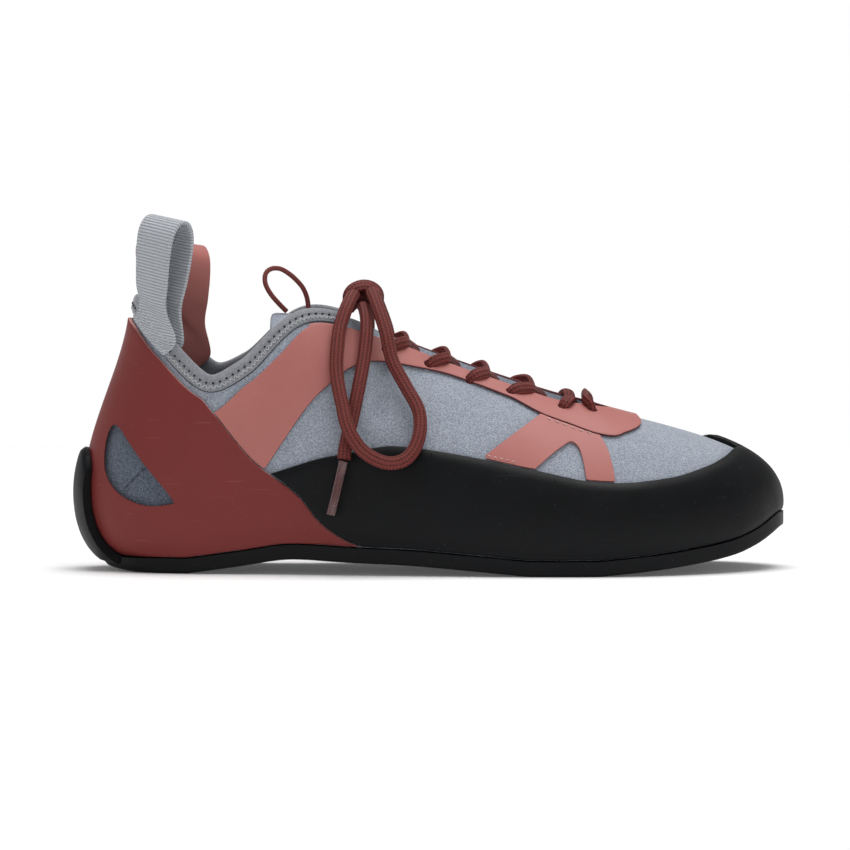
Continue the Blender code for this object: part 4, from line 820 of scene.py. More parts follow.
# %% [markdown]
# ## Upper
# The upper is one suede shell. Its grid wraps once round the last, its two ends are merged at the
# heel, and Solidify gives it the real 2 mm wall inwards. Soft creases are pressed in where the
# quarter folds under the lowest laces. Lace holes are punched with small cylinders.
# %% Upper
# One row a crease, on the side view: start and end as shares of length and height, then the half
# width and the depth in metres; a negative depth is a ridge
CREASES = (
    (0.431, 0.800, 0.420, 0.600, 0.0030, 0.0019),
    (0.404, 0.790, 0.398, 0.610, 0.0030, -0.0009),
    (0.470, 0.740, 0.462, 0.560, 0.0034, 0.0005),
    (0.505, 0.690, 0.490, 0.520, 0.0036, -0.0004),
    (0.300, 0.470, 0.345, 0.440, 0.0034, 0.0006),
)


def crease_depth(points):
    """How far each point of the skin is pressed in."""
    seen = points[..., [0, 2]]
    depth = np.zeros(seen.shape[:-1])
    for x0, h0, x1, h1, half, deep in CREASES:
        start = np.array([x0 * LAST_LENGTH, SOLE_TOP + h0 * INSTEP_HEIGHT])
        run = np.array([x1 * LAST_LENGTH, SOLE_TOP + h1 * INSTEP_HEIGHT]) - start
        share = np.clip(((seen - start) @ run) / (run @ run), 0, 1)
        off = np.linalg.norm(seen - start - share[..., None] * run, axis=-1)
        depth += deep * np.exp(-((off / half) ** 2))
    return depth


# %% Lace holes
# Places of the holes' middles from the toe backwards, as shares of length
EYELETS_ALONG = (0.727, 0.684, 0.609, 0.551, 0.491, 0.430)
EYELET_INSET = 0.0062
EYELET_RADIUS = 0.0019
PUNCH_DEPTH = 0.014


def eyelet(side, number):
    """Station and v of a lace hole; number 0 is next to the toe."""
    along = EYELETS_ALONG[number] * LAST_LENGTH
    stations = np.linspace(5, TOE - 0.3, 300)
    if side > 0:
        stations = STATIONS - stations
    rate = np.linalg.norm(slopes(stations, 0.95)[1], axis=-1)
    v = 1 - EYELET_INSET / rate
    x = skin(stations, v)[:, 0]
    order = np.argsort(x)
    return float(np.interp(along, x[order], stations[order])), float(np.interp(along, x[order], v[order]))


def turn_to(direction):
    """Rotation that stands +Z up along a direction, as Euler angles."""
    x, y, z = direction / np.linalg.norm(direction)
    return (0.0, math.acos(z), math.atan2(y, x))


def punch_lace_holes(piece):
    """Cuts the twelve holes out of a layer."""
    punches = []
    bpy.ops.object.select_all(action="DESELECT")
    for side in (-1, 1):
        for number in range(len(EYELETS_ALONG)):
            t, v = eyelet(side, number)
            middle = place(skin(t, v))
            bpy.ops.mesh.primitive_cylinder_add(
                vertices=20, radius=EYELET_RADIUS, depth=PUNCH_DEPTH, location=middle,
                rotation=turn_to(normal(t, v)),
            )
            punches.append(bpy.context.object)
    punch = join("punch", punches)
    apply(piece, "BOOLEAN", operation="DIFFERENCE", object=punch, solver="EXACT")
    bpy.data.objects.remove(punch)


# %% The upper's body
# Painted shade on the panel behind the window: on the outer side, back from this x and below this height
SHADE_REACHES_X = 0.012
SHADE_REACHES_Z = 0.058

t_ring, v_rib = np.linspace(0, STATIONS, 361), np.linspace(0, 1, 61)
tt, vv = np.meshgrid(t_ring, v_rib, indexing="ij")
skin_points = skin(tt, vv) - normal(tt, vv) * crease_depth(skin(tt, vv))[..., None]
upper = drape("upper", place(skin_points))
shade = upper.data.attributes.new("shade", "FLOAT", "POINT")
spots = vertex_places(upper.data)
shade_behind_window = (spots[:, 0] < SHADE_REACHES_X) & (spots[:, 1] < 0) & (spots[:, 2] < SHADE_REACHES_Z)
shade.data.foreach_set("value", shade_behind_window.astype(float))
bpy.ops.object.mode_set(mode="EDIT")
bpy.ops.mesh.select_all(action="SELECT")
bpy.ops.mesh.remove_doubles(threshold=MERGE_DISTANCE)
bpy.ops.object.mode_set(mode="OBJECT")
# The inner wall gets the second finish, the dark lining knit, as painted shade inside the shoe.
apply(
    upper, "SOLIDIFY", thickness=UPPER_WALL, offset=-1, use_even_offset=True,
    material_offset=1, material_offset_rim=0,
)
punch_lace_holes(upper)
hand_over(upper, [suede, lining_painted_shade], ["upper"])


# %% [markdown]
# ## Outsole
# The sole is a smooth rubber sheet without tread. Its edges are ground: square at the sides, round at
# the heel, where a tongue of it wraps up the back. It is laid as a ladder of rungs underneath and on
# top, strips along the sides and a small grid up the heel, all merged into one body.
# %% Outsole
HEEL_WRAP_WIDTH = 0.0270
HEEL_WRAP_HEIGHT = 0.0440
HEEL_FLARE_STATION = 2.5
HEEL_WRAP_FLARE = 0.8
HEEL_EDGE_ROUNDING = 0.0045
SOLE_FLUSH = 0.0006
SOLE_EDGE_RADIUS = 0.0013
WRAP_COLUMNS = 33
WRAP_ROWS = 25
WRAP_CREST_DROP = 0.16
RUNG_POINTS = 13


# %% Rungs, corners and heights
def ladder(closed_line, height):
    """Rungs from the outer to the inner side of a closed line, at a height that follows x."""
    count = len(closed_line)
    share = np.linspace(0, 1, RUNG_POINTS)[:, None]
    rungs = []
    for i in range(count // 2 + 1):
        rung = closed_line[i][None, :] * (1 - share) + closed_line[-i % count][None, :] * share
        rung[1:-1, 2] = height(rung[1:-1, 0])
        rungs.append(rung)
    return np.array(rungs)


def rounded_corner(low, high, steps):
    """Points from low to high over a corner that lies under high at the height of low."""
    corner = high.copy()
    corner[..., 2] = low[..., 2]
    s = np.linspace(0, 1, steps)[:, None, None]
    return (1 - s) ** 2 * low + 2 * s * (1 - s) * corner + s ** 2 * high


def height_share(t, height):
    """v at which the rib at station t reaches this height."""
    v = np.linspace(0, 1, 300)
    return float(np.interp(height, skin(np.full(300, t % STATIONS), v)[:, 2], v))


# %% The sole and its wrap
def make_outsole():
    """The whole sole: ladder underneath, ladder on top, sides and the wrap up the heel."""
    under_wrap = GAP + SLING_THICKNESS + WRAP_GAP
    stations = np.linspace(0, 3, 400)
    half_width = -offset(stations, np.full(400, BELLY_SHARE), np.full(400, under_wrap))[:, 1]
    wrap_t = float(np.interp(HEEL_WRAP_WIDTH / 2, half_width, stations))
    wrap = np.linspace(-wrap_t, wrap_t, WRAP_COLUMNS)
    tail = wrap * (1 + HEEL_WRAP_FLARE)
    middle = WRAP_COLUMNS // 2
    beside = tail[-1] + (HEEL_FLARE_STATION - tail[-1]) * np.linspace(0, 1, 9)[1:]
    far_side = np.linspace(HEEL_FLARE_STATION + 0.1, STATIONS - HEEL_FLARE_STATION - 0.1, 189)
    t = np.concatenate([
        tail[middle:], beside, far_side, STATIONS - beside[::-1], tail[:middle] + STATIONS,
    ])
    folded = np.minimum(t, STATIONS - t)
    in_tail = folded < tail[-1] + 1e-6
    layer_here = np.where(folded < 5, SLING_THICKNESS, RAND_THICKNESS)
    low = clear_of_sole(t % STATIONS, GAP + layer_here)
    fade = np.clip((folded - tail[-1]) / (HEEL_FLARE_STATION - tail[-1]), 0, 1)
    flared = 0.5 + 0.5 * np.cos(math.pi * fade)
    plain = layer_here + GAP + SOLE_FLUSH
    edge = offset(t, low, plain + (under_wrap + HEEL_WRAP_THICKNESS - plain) * flared)
    side = edge.copy()
    flat = sole_rise(edge[:, 0]) + heel_curl(edge[:, 0]) + SOLE_EDGE_RADIUS
    side[:, 2] = flat + (np.maximum(edge[:, 2], flat) - flat) * flared
    under = edge - outward(t) * (SOLE_EDGE_RADIUS + HEEL_EDGE_ROUNDING * flared)[:, None]
    under[:, 2] = sole_rise(under[:, 0]) + heel_curl(under[:, 0])
    top = np.where(in_tail[:, None], offset(t, low, np.full(len(t), under_wrap)), edge)
    top[:, 2] = sole_top(top[:, 0]) - GAP
    bend = list(rounded_corner(under, side, 7))

    count = len(t)
    around = list(range(middle, count - middle + 1))
    parts = [
        drape("sole_under", place(ladder(under, lambda x: sole_rise(x) + heel_curl(x)))),
        drape("sole_top", place(ladder(top, lambda x: sole_top(x) - GAP))),
        drape("sole_side", place(np.stack([*bend, top], 1)[around])),
    ]
    order = list(range(count - middle, count)) + list(range(middle + 1))
    crest = HEEL_WRAP_HEIGHT * (1 - WRAP_CREST_DROP * (wrap / wrap_t) ** 4)
    v_top = np.array([height_share(a, b) for a, b in zip(wrap, crest)])
    outer_rows, inner_rows = [row[order] for row in bend], [top[order]]
    for share in np.linspace(0, 1, WRAP_ROWS)[1:]:
        v = low[order] + (v_top - low[order]) * share
        here = wrap * (1 + HEEL_WRAP_FLARE * (1 - share) ** 3)
        thick = HEEL_WRAP_THICKNESS * (1 - 0.35 * share ** 4 - 0.35 * share ** 40)
        inner_rows.append(offset(here, v, np.full(len(v), under_wrap)))
        outer_rows.append(offset(here, v, under_wrap + thick))
    outer_grid, inner_grid = np.stack(outer_rows, 1), np.stack(inner_rows, 1)
    parts.append(drape("wrap_outside", place(outer_grid)))
    parts.append(drape("wrap_inside", place(inner_grid)))
    parts.append(drape("wrap_top", place(np.stack([outer_grid[:, -1], inner_grid[:, -1]], 1))))
    for n in (0, -1):
        rim = np.stack([outer_grid[n][len(bend) - 1:], inner_grid[n]], 0)
        parts.append(drape("wrap_rim", place(rim)))
    return join("outsole", parts)


outsole = make_outsole()
close_up(outsole)
hand_over(outsole, [black_rubber], ["outsole"], angle=38)


# %% [markdown]
# ## Insole
# The footbed closes the shoe underneath, inside the lower edge of the upper. It is seen only through
# the collar, so a plain board with the lining's knit on it is enough; the knit's dark colour is painted
# shade.
# %% Insole
INSOLE_THICKNESS = 0.0020

t_bed = np.linspace(0, STATIONS, 193)[:-1]
reach = UPPER_WALL * np.linalg.norm(normal(t_bed, np.zeros(len(t_bed)))[:, :2], axis=-1) + 2.2 * GAP
bed_line = skin(t_bed, np.zeros(len(t_bed))) - outward(t_bed) * reach[:, None]
bed_low, bed_high = bed_line.copy(), bed_line.copy()
bed_low[:, 2] = sole_top(bed_line[:, 0])
bed_high[:, 2] = bed_low[:, 2] + INSOLE_THICKNESS
bed_wall = np.stack([bed_low, bed_high], 1)
insole = join("insole", [
    drape("bed_under", place(ladder(bed_low, sole_top))),
    drape("bed_top", place(ladder(bed_high, lambda x: sole_top(x) + INSOLE_THICKNESS))),
    drape("bed_wall", place(np.concatenate([bed_wall, bed_wall[:1]]))),
])
close_up(insole)
hand_over(insole, [lining_painted_shade], ["insole"])


# %% [markdown]
# ## Rand
# The rand is a strip of 2 mm rubber from one side of the heel round the toe to the other. Its upper
# edge is skived thin, so it melts into the suede. Both ends run out under the sling's front edge.
# %% Rand
RAND_ROUNDING = 0.0006
RAND_SKIVE = 0.0009
# How far up the rib the rand's hidden lower edge starts over the sole, as a share
RAND_START = 0.004


def where_sling_ends(stations):
    """The first of these stations at which the rand's top edge clears the sling."""
    clear = rand_top(stations) > step_up(stations, sling_front(stations), 1.5 * GAP)
    return float(stations[np.argmax(clear)])


rand_start = where_sling_ends(np.linspace(2, TOE, 900))
rand_end = where_sling_ends(np.linspace(STATIONS - 2, TOE, 900))
t_rand = np.linspace(rand_start, rand_end, 420)
rand_high = rand_top(t_rand)
rand_low = clear_of_sole(t_rand, np.full(len(t_rand), GAP + RAND_THICKNESS)) + RAND_START
rand_low = np.minimum(np.maximum(rand_low, step_up(t_rand, sling_front(t_rand), 2 * GAP)), rand_high)
rand = drape("rand", place(layer_points(
    t_rand, rand_low, rand_high, GAP, GAP + RAND_THICKNESS, RAND_ROUNDING, rows=22, skive=RAND_SKIVE
)))
close_up(rand)
hand_over(rand, [black_rubber], ["rand"])


# %% [markdown]
# ## Heel sling
# The sling is stretched from the arch over the heel, and pulls the heel into the shoe. A half-moon
# window on the outer side relieves it there. The window's outline is a curve extruded into a cutter,
# and a Boolean takes it out. The front edge is buffed rubber, and its pale line is also painted on as a
# highlight.
# %% Heel sling
SLING_ROUNDING = 0.0004
# Where the window's cutter starts on the outer side, and how far it goes in
CUTTER_START = -0.060
CUTTER_DEPTH = 0.058
# The window's outline on the side view, upper arc then lower arc, as shares of length and height
WINDOW = (
    (0.0275, 0.360), (0.0268, 0.420), (0.0290, 0.480), (0.0330, 0.520), (0.0385, 0.548), (0.0450, 0.548),
    (0.0520, 0.528), (0.0600, 0.494), (0.0730, 0.440), (0.0860, 0.389), (0.1010, 0.338), (0.1150, 0.290),
    (0.1250, 0.253), (0.1300, 0.230), (0.1200, 0.222), (0.1060, 0.217), (0.0917, 0.216), (0.0760, 0.224),
    (0.0630, 0.240), (0.0520, 0.257), (0.0420, 0.283), (0.0335, 0.316),
)


def cut_window(piece):
    """Cuts the half-moon out of the sling's outer side."""
    bpy.ops.object.select_all(action="DESELECT")
    bpy.ops.mesh.primitive_circle_add(vertices=len(WINDOW), fill_type="NGON")
    cutter = bpy.context.object
    for vertex, (along, height) in zip(cutter.data.vertices, WINDOW):
        x = (along - HEEL_REST_ALONG) * LAST_LENGTH
        vertex.co = (x, CUTTER_START, SOLE_TOP + height * INSTEP_HEIGHT)
    bpy.ops.object.mode_set(mode="EDIT")
    bpy.ops.mesh.select_all(action="SELECT")
    bpy.ops.mesh.extrude_region_move(TRANSFORM_OT_translate={"value": (0, CUTTER_DEPTH, 0)})
    bpy.ops.mesh.select_all(action="SELECT")
    bpy.ops.mesh.normals_make_consistent(inside=False)
    bpy.ops.object.mode_set(mode="OBJECT")
    apply(piece, "BOOLEAN", operation="DIFFERENCE", object=cutter, solver="EXACT")
    bpy.data.objects.remove(cutter)


def sling_reach():
    """The station at which the sling's front edge runs down to the sole."""
    fine = np.linspace(3, 6, 400)
    done = sling_front(fine) < clear_of_sole(fine, np.full(400, GAP + SLING_THICKNESS)) + 0.006
    return float(fine[np.argmax(done)])


sling_tip = sling_reach()
t_sling = np.linspace(-sling_tip, sling_tip, 300)
sling_high = np.minimum(sling_front(t_sling), 0.985)
sling_low = clear_of_sole(t_sling % STATIONS, np.full(300, GAP + SLING_THICKNESS))
sling_rows = 34
sling = drape("heel_sling", place(layer_points(
    t_sling, sling_low, sling_high, GAP, GAP + SLING_THICKNESS, SLING_ROUNDING, rows=sling_rows
)), layer_edge_rows(sling_rows))
close_up(sling)
cut_window(sling)
hand_over(sling, [red_rubber, buffed_edge_and_highlight], ["heel_sling"], angle=40)


# %% [markdown]
# ## Coral overlays
# One big overlay makes the quarter straps, the facings with the lace holes, and the end on the vamp.
# Two forked patches tie it to the rand. They are only 0.8 mm thick, so light catches their edges as
# a fine line, and the cut edge is darker than the face.
# %% Eyestay
EYESTAY_ROUNDING = 0.0003

collar_side = edge_line(-1, EYESTAY_HIGH)
collar_stations = find(-1, EYESTAY_HIGH)[0]


def eyestay_top(t):
    """The eyestay's upper edge: the collar's slant, then close under the mouth."""
    folded = np.minimum(t, STATIONS - t)
    return np.where(folded < collar_stations[-1], np.minimum(collar_side(folded), 0.99), 0.99)


def eyestay_bottom(t):
    """The eyestay's lower edge, kept clear of the heel sling."""
    return np.maximum(eyestay_low(t), step_up(t, sling_front(t), 1.5 * GAP))


fine = np.linspace(collar_stations[0], collar_stations[-1], 600)
stay_start = float(fine[np.argmax(eyestay_top(fine) > eyestay_bottom(fine))])
t_stay = np.linspace(stay_start, STATIONS - stay_start, 520)
stay_low = np.minimum(eyestay_bottom(t_stay), eyestay_top(t_stay))
stay_rows = 22
eyestay = drape("eyestay", place(layer_points(
    t_stay, stay_low, eyestay_top(t_stay), OVERLAY_GAP, OVERLAY_GAP + OVERLAY_THICKNESS,
    EYESTAY_ROUNDING, rows=stay_rows,
)), layer_edge_rows(stay_rows))
close_up(eyestay)
punch_lace_holes(eyestay)
hand_over(eyestay, [coral, coral_edge], ["eyestay"])

# %% Forked patches
FORK_LEFT = ((0.567, 0.413), (0.609, 0.501), (0.652, 0.586))
FORK_RIGHT = ((0.737, 0.497), (0.746, 0.450), (0.753, 0.383), (0.757, 0.315))
FORK_ARCH = (
    (0.641, 0.367), (0.681, 0.457), (0.695, 0.477), (0.705, 0.457), (0.712, 0.397), (0.716, 0.322),
)
FORK_ROWS = 14


def make_fork(name, side):
    """The two-legged overlay between eyestay and rand at the forefoot."""
    grid_t = np.linspace(5, TOE, 400) if side < 0 else np.linspace(TOE, STATIONS - 5, 400)

    def height_on(edge_v):
        """An edge's height as a function of the place along the shoe."""
        p = skin(grid_t, edge_v)
        order = np.argsort(p[:, 0])
        x, z = p[order, 0], p[order, 2]
        return lambda share: (np.interp(share * LAST_LENGTH, x, z) - SOLE_TOP) / INSTEP_HEIGHT

    clearance = 1.5 * GAP / INSTEP_HEIGHT
    rand_height, stay_height = height_on(rand_top(grid_t)), height_on(eyestay_low(grid_t))

    def edges(share):
        """The patch's bottom and top at places along the shoe."""
        top = np.array(stay_height(share) - clearance)
        top = np.where(share < FORK_LEFT[-1][0], np.minimum(top, smooth_through(FORK_LEFT, share)), top)
        top = np.where(share > FORK_RIGHT[0][0], np.minimum(top, smooth_through(FORK_RIGHT, share)), top)
        bottom = rand_height(share) + clearance
        under = (share > FORK_ARCH[0][0]) & (share < FORK_ARCH[-1][0])
        return np.where(under, np.maximum(bottom, smooth_through(FORK_ARCH, share)), bottom), top

    fine = np.linspace(FORK_LEFT[0][0] - 0.02, FORK_RIGHT[-1][0] + 0.02, 600)
    bottom, top = edges(fine)
    whole = fine[top - bottom > 2 * clearance]
    turns = [FORK_ARCH[0][0], FORK_ARCH[2][0], FORK_ARCH[-1][0], FORK_ARCH[-1][0] + 0.001]
    along = np.unique(np.concatenate([np.linspace(whole[0], whole[-1], 90), turns]))
    low, high = edges(along)
    heights = low[:, None] + (high - low)[:, None] * np.linspace(0, 1, FORK_ROWS)[None, :]
    places = np.stack([np.repeat(along[:, None], FORK_ROWS, 1), heights], -1).reshape(-1, 2)
    t, v = (part.reshape(len(along), FORK_ROWS) for part in find(side, places))
    points = offset(t, v, np.full(t.shape, OVERLAY_GAP + OVERLAY_THICKNESS))
    fork = drape(name, place(points if side < 0 else points[::-1]))
    apply(fork, "SOLIDIFY", thickness=OVERLAY_THICKNESS, offset=-1, material_offset_rim=1)
    hand_over(fork, [coral, coral_edge], [name])


make_fork("fork_outer", -1)
make_fork("fork_inner", 1)


# %% [markdown]
# ## Collar binding
# A strip of stretch knit is folded over the collar and sewn down, so it is full at the top and pulled
# in where the needle went. Its section is a small closed curve, carried along the collar's edge.
# %% Collar binding
COLLAR_END = 5.5
BINDING_HEIGHT = 0.0066
BINDING_THICKNESS = 0.0036
# The section: out from the wall's middle as a share of half the thickness, up as a share of height
BINDING_SECTION = (
    (0.92, 0.06), (1.00, 0.20), (0.98, 0.34), (0.80, 0.47), (0.92, 0.58), (0.94, 0.70), (0.72, 0.88),
    (0.30, 0.985), (-0.20, 1.00), (-0.70, 0.90), (-0.98, 0.70), (-1.02, 0.45), (-0.98, 0.22), (-0.90, 0.06),
)


def collar_frame(t):
    """At the mouth: the edge point, the outward normal and the direction that leaves the wall."""
    t = np.asarray(t, float)
    edge = skin(t, np.ones(t.shape))
    run = skin(t + 0.02, np.ones(t.shape)) - skin(t - 0.02, np.ones(t.shape))
    run /= np.linalg.norm(run, axis=-1, keepdims=True)
    out = normal(t, np.ones(t.shape))
    out -= run * (out * run).sum(-1, keepdims=True)
    out /= np.linalg.norm(out, axis=-1, keepdims=True)
    return edge, out, np.cross(out, run)


def refine(points, steps):
    """More points along the first direction, on a cubic through those given."""
    p = np.concatenate([2 * points[:1] - points[1:2], points, 2 * points[-1:] - points[-2:-1]])
    finer = []
    for i in range(1, len(p) - 2):
        for share in np.linspace(0, 1, steps, endpoint=False):
            finer.append(cubic(p[i - 1], p[i], p[i + 1], p[i + 2], share))
    finer.append(p[-2])
    return np.array(finer)


def on_binding(t, out_share, height):
    """Points on the binding, by the shares that its section uses."""
    edge, out, up = collar_frame(t)
    centre = edge - out * UPPER_WALL / 2
    return centre + out * out_share * BINDING_THICKNESS / 2 + up * height * BINDING_HEIGHT


section = refine(np.array(BINDING_SECTION + BINDING_SECTION[:1]), 3)
t_collar = np.linspace(-COLLAR_END, COLLAR_END, 300)
binding = drape("collar_binding", place(np.stack([on_binding(t_collar, a, b) for a, b in section], 1)))
close_up(binding)
hand_over(binding, [knit], ["collar_binding"])


# %% [markdown]
# ## Tongue
# The tongue lies under the facings and stands up free at the collar. Rows of points are drawn from
# the facings' own surface, a little inside it. Solidify gives the padded thickness, and one level of
# Subdivision Surface rounds its rim.
# %% Tongue
TONGUE_UNDERLAP = 0.0100
TONGUE_THICKNESS = 0.0034
# Stations of the sections under the facings, from the toe end to the collar
TONGUE_STATIONS = (11.75, 11.0, 10.5, 9.5, 8.5, 7.5, 7.0, 6.5)
TONGUE_BULGE = 0.35
# The free part, front to back: along is a share of LAST_LENGTH, half width and drop at the sides of
# BALL_WIDTH, ridge of INSTEP_HEIGHT
TONGUE_FREE = (
    (0.386, 0.205, 0.982, 0.100),
    (0.330, 0.215, 1.000, 0.085),
    (0.264, 0.215, 1.012, 0.090),
)


def tongue_rows():
    """Sections of the tongue's outer surface from the toe end to its free top, outer side first."""
    rows = []
    depth = UPPER_WALL + 1.5 * GAP
    for t in TONGUE_STATIONS:
        sides = []
        for station in (t, STATIONS - t):
            length = np.linalg.norm(slopes(station, 0.97)[1])
            v = 1 - TONGUE_UNDERLAP / length * np.array([1.0, 0.66, 0.33, 0.0])
            sides.append(offset(np.full(4, station), v, np.full(4, -depth)))
        left, right = sides
        pull = np.linalg.norm(right[-1] - left[-1]) * TONGUE_BULGE
        rise_left = (left[-1] - left[-2]) / np.linalg.norm(left[-1] - left[-2]) * pull
        rise_right = (right[-1] - right[-2]) / np.linalg.norm(right[-1] - right[-2]) * pull
        middle = [
            bezier(left[-1], left[-1] + rise_left / 3, right[-1] + rise_right / 3, right[-1], np.array(s))
            for s in (0.25, 0.5, 0.75)
        ]
        rows.append(np.array(list(left) + middle + list(right[::-1])))
    across = np.linspace(-1, 1, 11)
    for along, half_width, ridge, drop in TONGUE_FREE:
        y = across * half_width * BALL_WIDTH
        z = SOLE_TOP + ridge * INSTEP_HEIGHT - drop * BALL_WIDTH * across ** 2
        rows.append(np.stack([np.full(11, along * LAST_LENGTH), y, z], -1))
    return np.array(rows)


tongue_grid = refine(refine(tongue_rows(), 5).transpose(1, 0, 2), 3)
tongue = drape("tongue", place(tongue_grid))
apply(tongue, "SOLIDIFY", thickness=TONGUE_THICKNESS, offset=-1, use_even_offset=True)
apply(tongue, "SUBSURF", levels=1, render_levels=1)
hand_over(tongue, [suede], ["tongue"], angle=60)


# %% [markdown]
# ## Pull loops
# Each loop is a tape folded over, with one foot sewn outside the collar and the other inside it. A
# finger goes through to pull the shoe on. The outer loop is ribbed webbing, the inner one is coral.
# %% Pull loops
WEBBING_THICKNESS = 0.0013
LOOP_TOP_SLANT = 0.15
LOOP_LINE = (
    (0.34, 0.22), (0.44, 0.46), (0.50, 0.68), (0.46, 0.86), (0.26, 0.97),
    (0.0, 1.0), (-0.26, 0.97), (-0.46, 0.86), (-0.50, 0.68), (-0.44, 0.46), (-0.34, 0.22),
)


def pull_loop(name, stations, height, depth, lean, finish):
    """A tape folded over the collar between two stations; returns where its feet are sewn."""
    t = np.linspace(stations[0], stations[1], 4)
    edge, out, up = collar_frame(t)
    away = out.mean(0) * np.array([1, 1, 0])
    away /= np.linalg.norm(away)
    foot = (BINDING_THICKNESS + WEBBING_THICKNESS) / 2 + 1.5 * GAP
    base = edge - out * UPPER_WALL / 2 + up * 2 * GAP
    run = base[-1] - base[0]
    width = np.linalg.norm(run)
    run = run * np.array([1, 1, LOOP_TOP_SLANT])
    run /= np.linalg.norm(run)
    crest = base.mean(0) + np.array([lean, 0, height]) + np.linspace(-0.5, 0.5, 4)[:, None] * width * run
    rising = BINDING_HEIGHT / height
    grid = []
    for n in range(4):
        outer_foot = [base[n] + out[n] * foot, base[n] + out[n] * foot + up[n] * 1.05 * BINDING_HEIGHT]
        inner_foot = [base[n] - out[n] * foot + up[n] * 1.05 * BINDING_HEIGHT, base[n] - out[n] * foot]
        bend = [
            base[n] + (crest[n] - base[n]) * (rising + (1 - rising) * share) + away * side * depth
            for side, share in LOOP_LINE
        ]
        grid.append(outer_foot + bend + inner_foot)
    fine = refine(refine(np.array(grid), 4).transpose(1, 0, 2), 8).transpose(1, 0, 2)
    loop = drape(name, place(fine))
    apply(loop, "SOLIDIFY", thickness=WEBBING_THICKNESS, offset=0)
    apply(loop, "BEVEL", width=0.0004, segments=2, limit_method="ANGLE", angle_limit=math.radians(60))
    close_up(loop)
    hand_over(loop, [finish], [name])
    return base, out, up, foot


outer_foot = pull_loop(
    "pull_loop_outer", (1.0, 2.1), height=0.0430, depth=0.0110, lean=0.0055,
    finish=webbing,
)
pull_loop(
    "pull_loop_inner", (22.6, 21.35), height=0.0370, depth=0.0150, lean=0.0,
    finish=coral,
)


# %% [markdown]
# ## Lace
# The lace is a soft tubular braid, pressed oval. Every stretch of it is a grid rolled round a smooth
# route. It comes up through its hole, runs over the tongue towards the toe, and dives under the
# facing on the other side. A straight bar joins the two lowest holes.
# %% A lace along a route
LACE_WIDTH = 0.0048
LACE_THICKNESS = 0.0026
PINCHED_SHARE = 0.55
PINCH_LENGTH = 0.0085
# What a lace's flat side faces at its start
FACES_UP = (0.25, 0.0, 1.0)


def smooth_route(points, spacing=0.0009):
    """Points a spacing apart on a smooth curve through a route."""
    fine = refine(np.array(points, float), 24)
    run = walked(fine)
    return between(np.linspace(0, run[-1], max(4, int(round(run[-1] / spacing)) + 1)), run, fine)


def lace(name, points, width, thickness, flat_side, sides=20, pinch=0.0):
    """An oval tube along a route. flat_side is what its flat side faces at the start, and pinch is
    how far from its ends, in metres, a hole squeezes it."""
    route = smooth_route(points)
    run = np.gradient(route, axis=0)
    run /= np.linalg.norm(run, axis=-1, keepdims=True)
    across = np.cross(run[0], flat_side)
    angle = np.linspace(0, 2 * math.pi, sides + 1)[:, None]
    from_start = walked(route)
    from_end = np.minimum(from_start, from_start[-1] - from_start)
    full = np.clip(from_end / pinch, 0, 1) if pinch else np.ones(len(route))
    widths = width * (PINCHED_SHARE + (1 - PINCHED_SHARE) * full ** 2 * (3 - 2 * full))
    sections = []
    for here, along, wide in zip(route, run, widths):
        across = across - along * (across @ along)
        across /= np.linalg.norm(across)
        above = np.cross(along, across)
        sections.append(here + wide / 2 * np.cos(angle) * across + thickness / 2 * np.sin(angle) * above)
    tube = drape(name, np.array(sections))
    close_up(tube)
    return tube, route


# %% Points of a crossing
# Shares of the way from one hole to the next at which a strand leaves its own facing, and at which
# it dives under the other one
LEAVES_FACING = 0.4
REACHES_FACING = 0.8
# Where a lace rises over the tongue, as a share of the way across, and by what share of its lift
TONGUE_RISE = ((0.3, 0.7), (0.5, 1.0), (0.7, 0.7))
# A lace's way through its hole: the step in v from the hole, and the height over the skin
THROUGH_HOLE = ((-0.01, -0.0046), (0.0, -0.0012), (0.012, 0.0022))
# Heights over the skin where a strand goes under the other facing, and at its tucked end
UNDER_EDGE = -0.0022
TUCKED = -0.0036


def lace_point(t, v, lift=0.0):
    """The middle of a lace that lies on the eyestay."""
    return offset(t, v, OVERLAY_GAP + OVERLAY_THICKNESS + GAP + LACE_THICKNESS / 2 + lift)


def up_through(side, number, toward):
    """A lace's first points: from under the wall up through its hole; toward is a station."""
    t, v = eyelet(side, number)
    stations = (t, t, t + (toward - t) * 0.10)
    return [offset(here, v + step, rise) for here, (step, rise) in zip(stations, THROUGH_HOLE)]


def over_tongue(near, far, lift):
    """Points of a lace between the two facings."""
    up = np.array([0.0, 0.0, 1.0])
    return [near + (far - near) * share + up * lift * rise for share, rise in TONGUE_RISE]


def crossing_strand(side, number, lift):
    """From a hole forward over the tongue to under the other facing's edge, near the next hole."""
    t, _ = eyelet(side, number)
    here = t if side < 0 else STATIONS - t
    ahead, _ = eyelet(-1, number - 1)
    edge = here + (ahead - here) * LEAVES_FACING
    far = here + (ahead - here) * REACHES_FACING
    near_t, far_t = (edge, STATIONS - far) if side < 0 else (STATIONS - edge, far)
    toward = ahead if side < 0 else STATIONS - ahead
    near = lace_point(near_t, 0.99, -0.0006)
    under_edge = offset(far_t, 1.0, UNDER_EDGE)
    tucked = offset(far_t - 0.05 * side, 0.985, TUCKED)
    across = over_tongue(near, under_edge, lift)
    return [*up_through(side, number, toward), near, *across, under_edge, tucked]


# %% Crossings and the bar at the toe end
# The strand from the inner side runs lower, under the other one
OUTER_STRAND_LIFT = 0.0001
INNER_STRAND_LIFT = -0.0017
BAR_LIFT = 0.0006

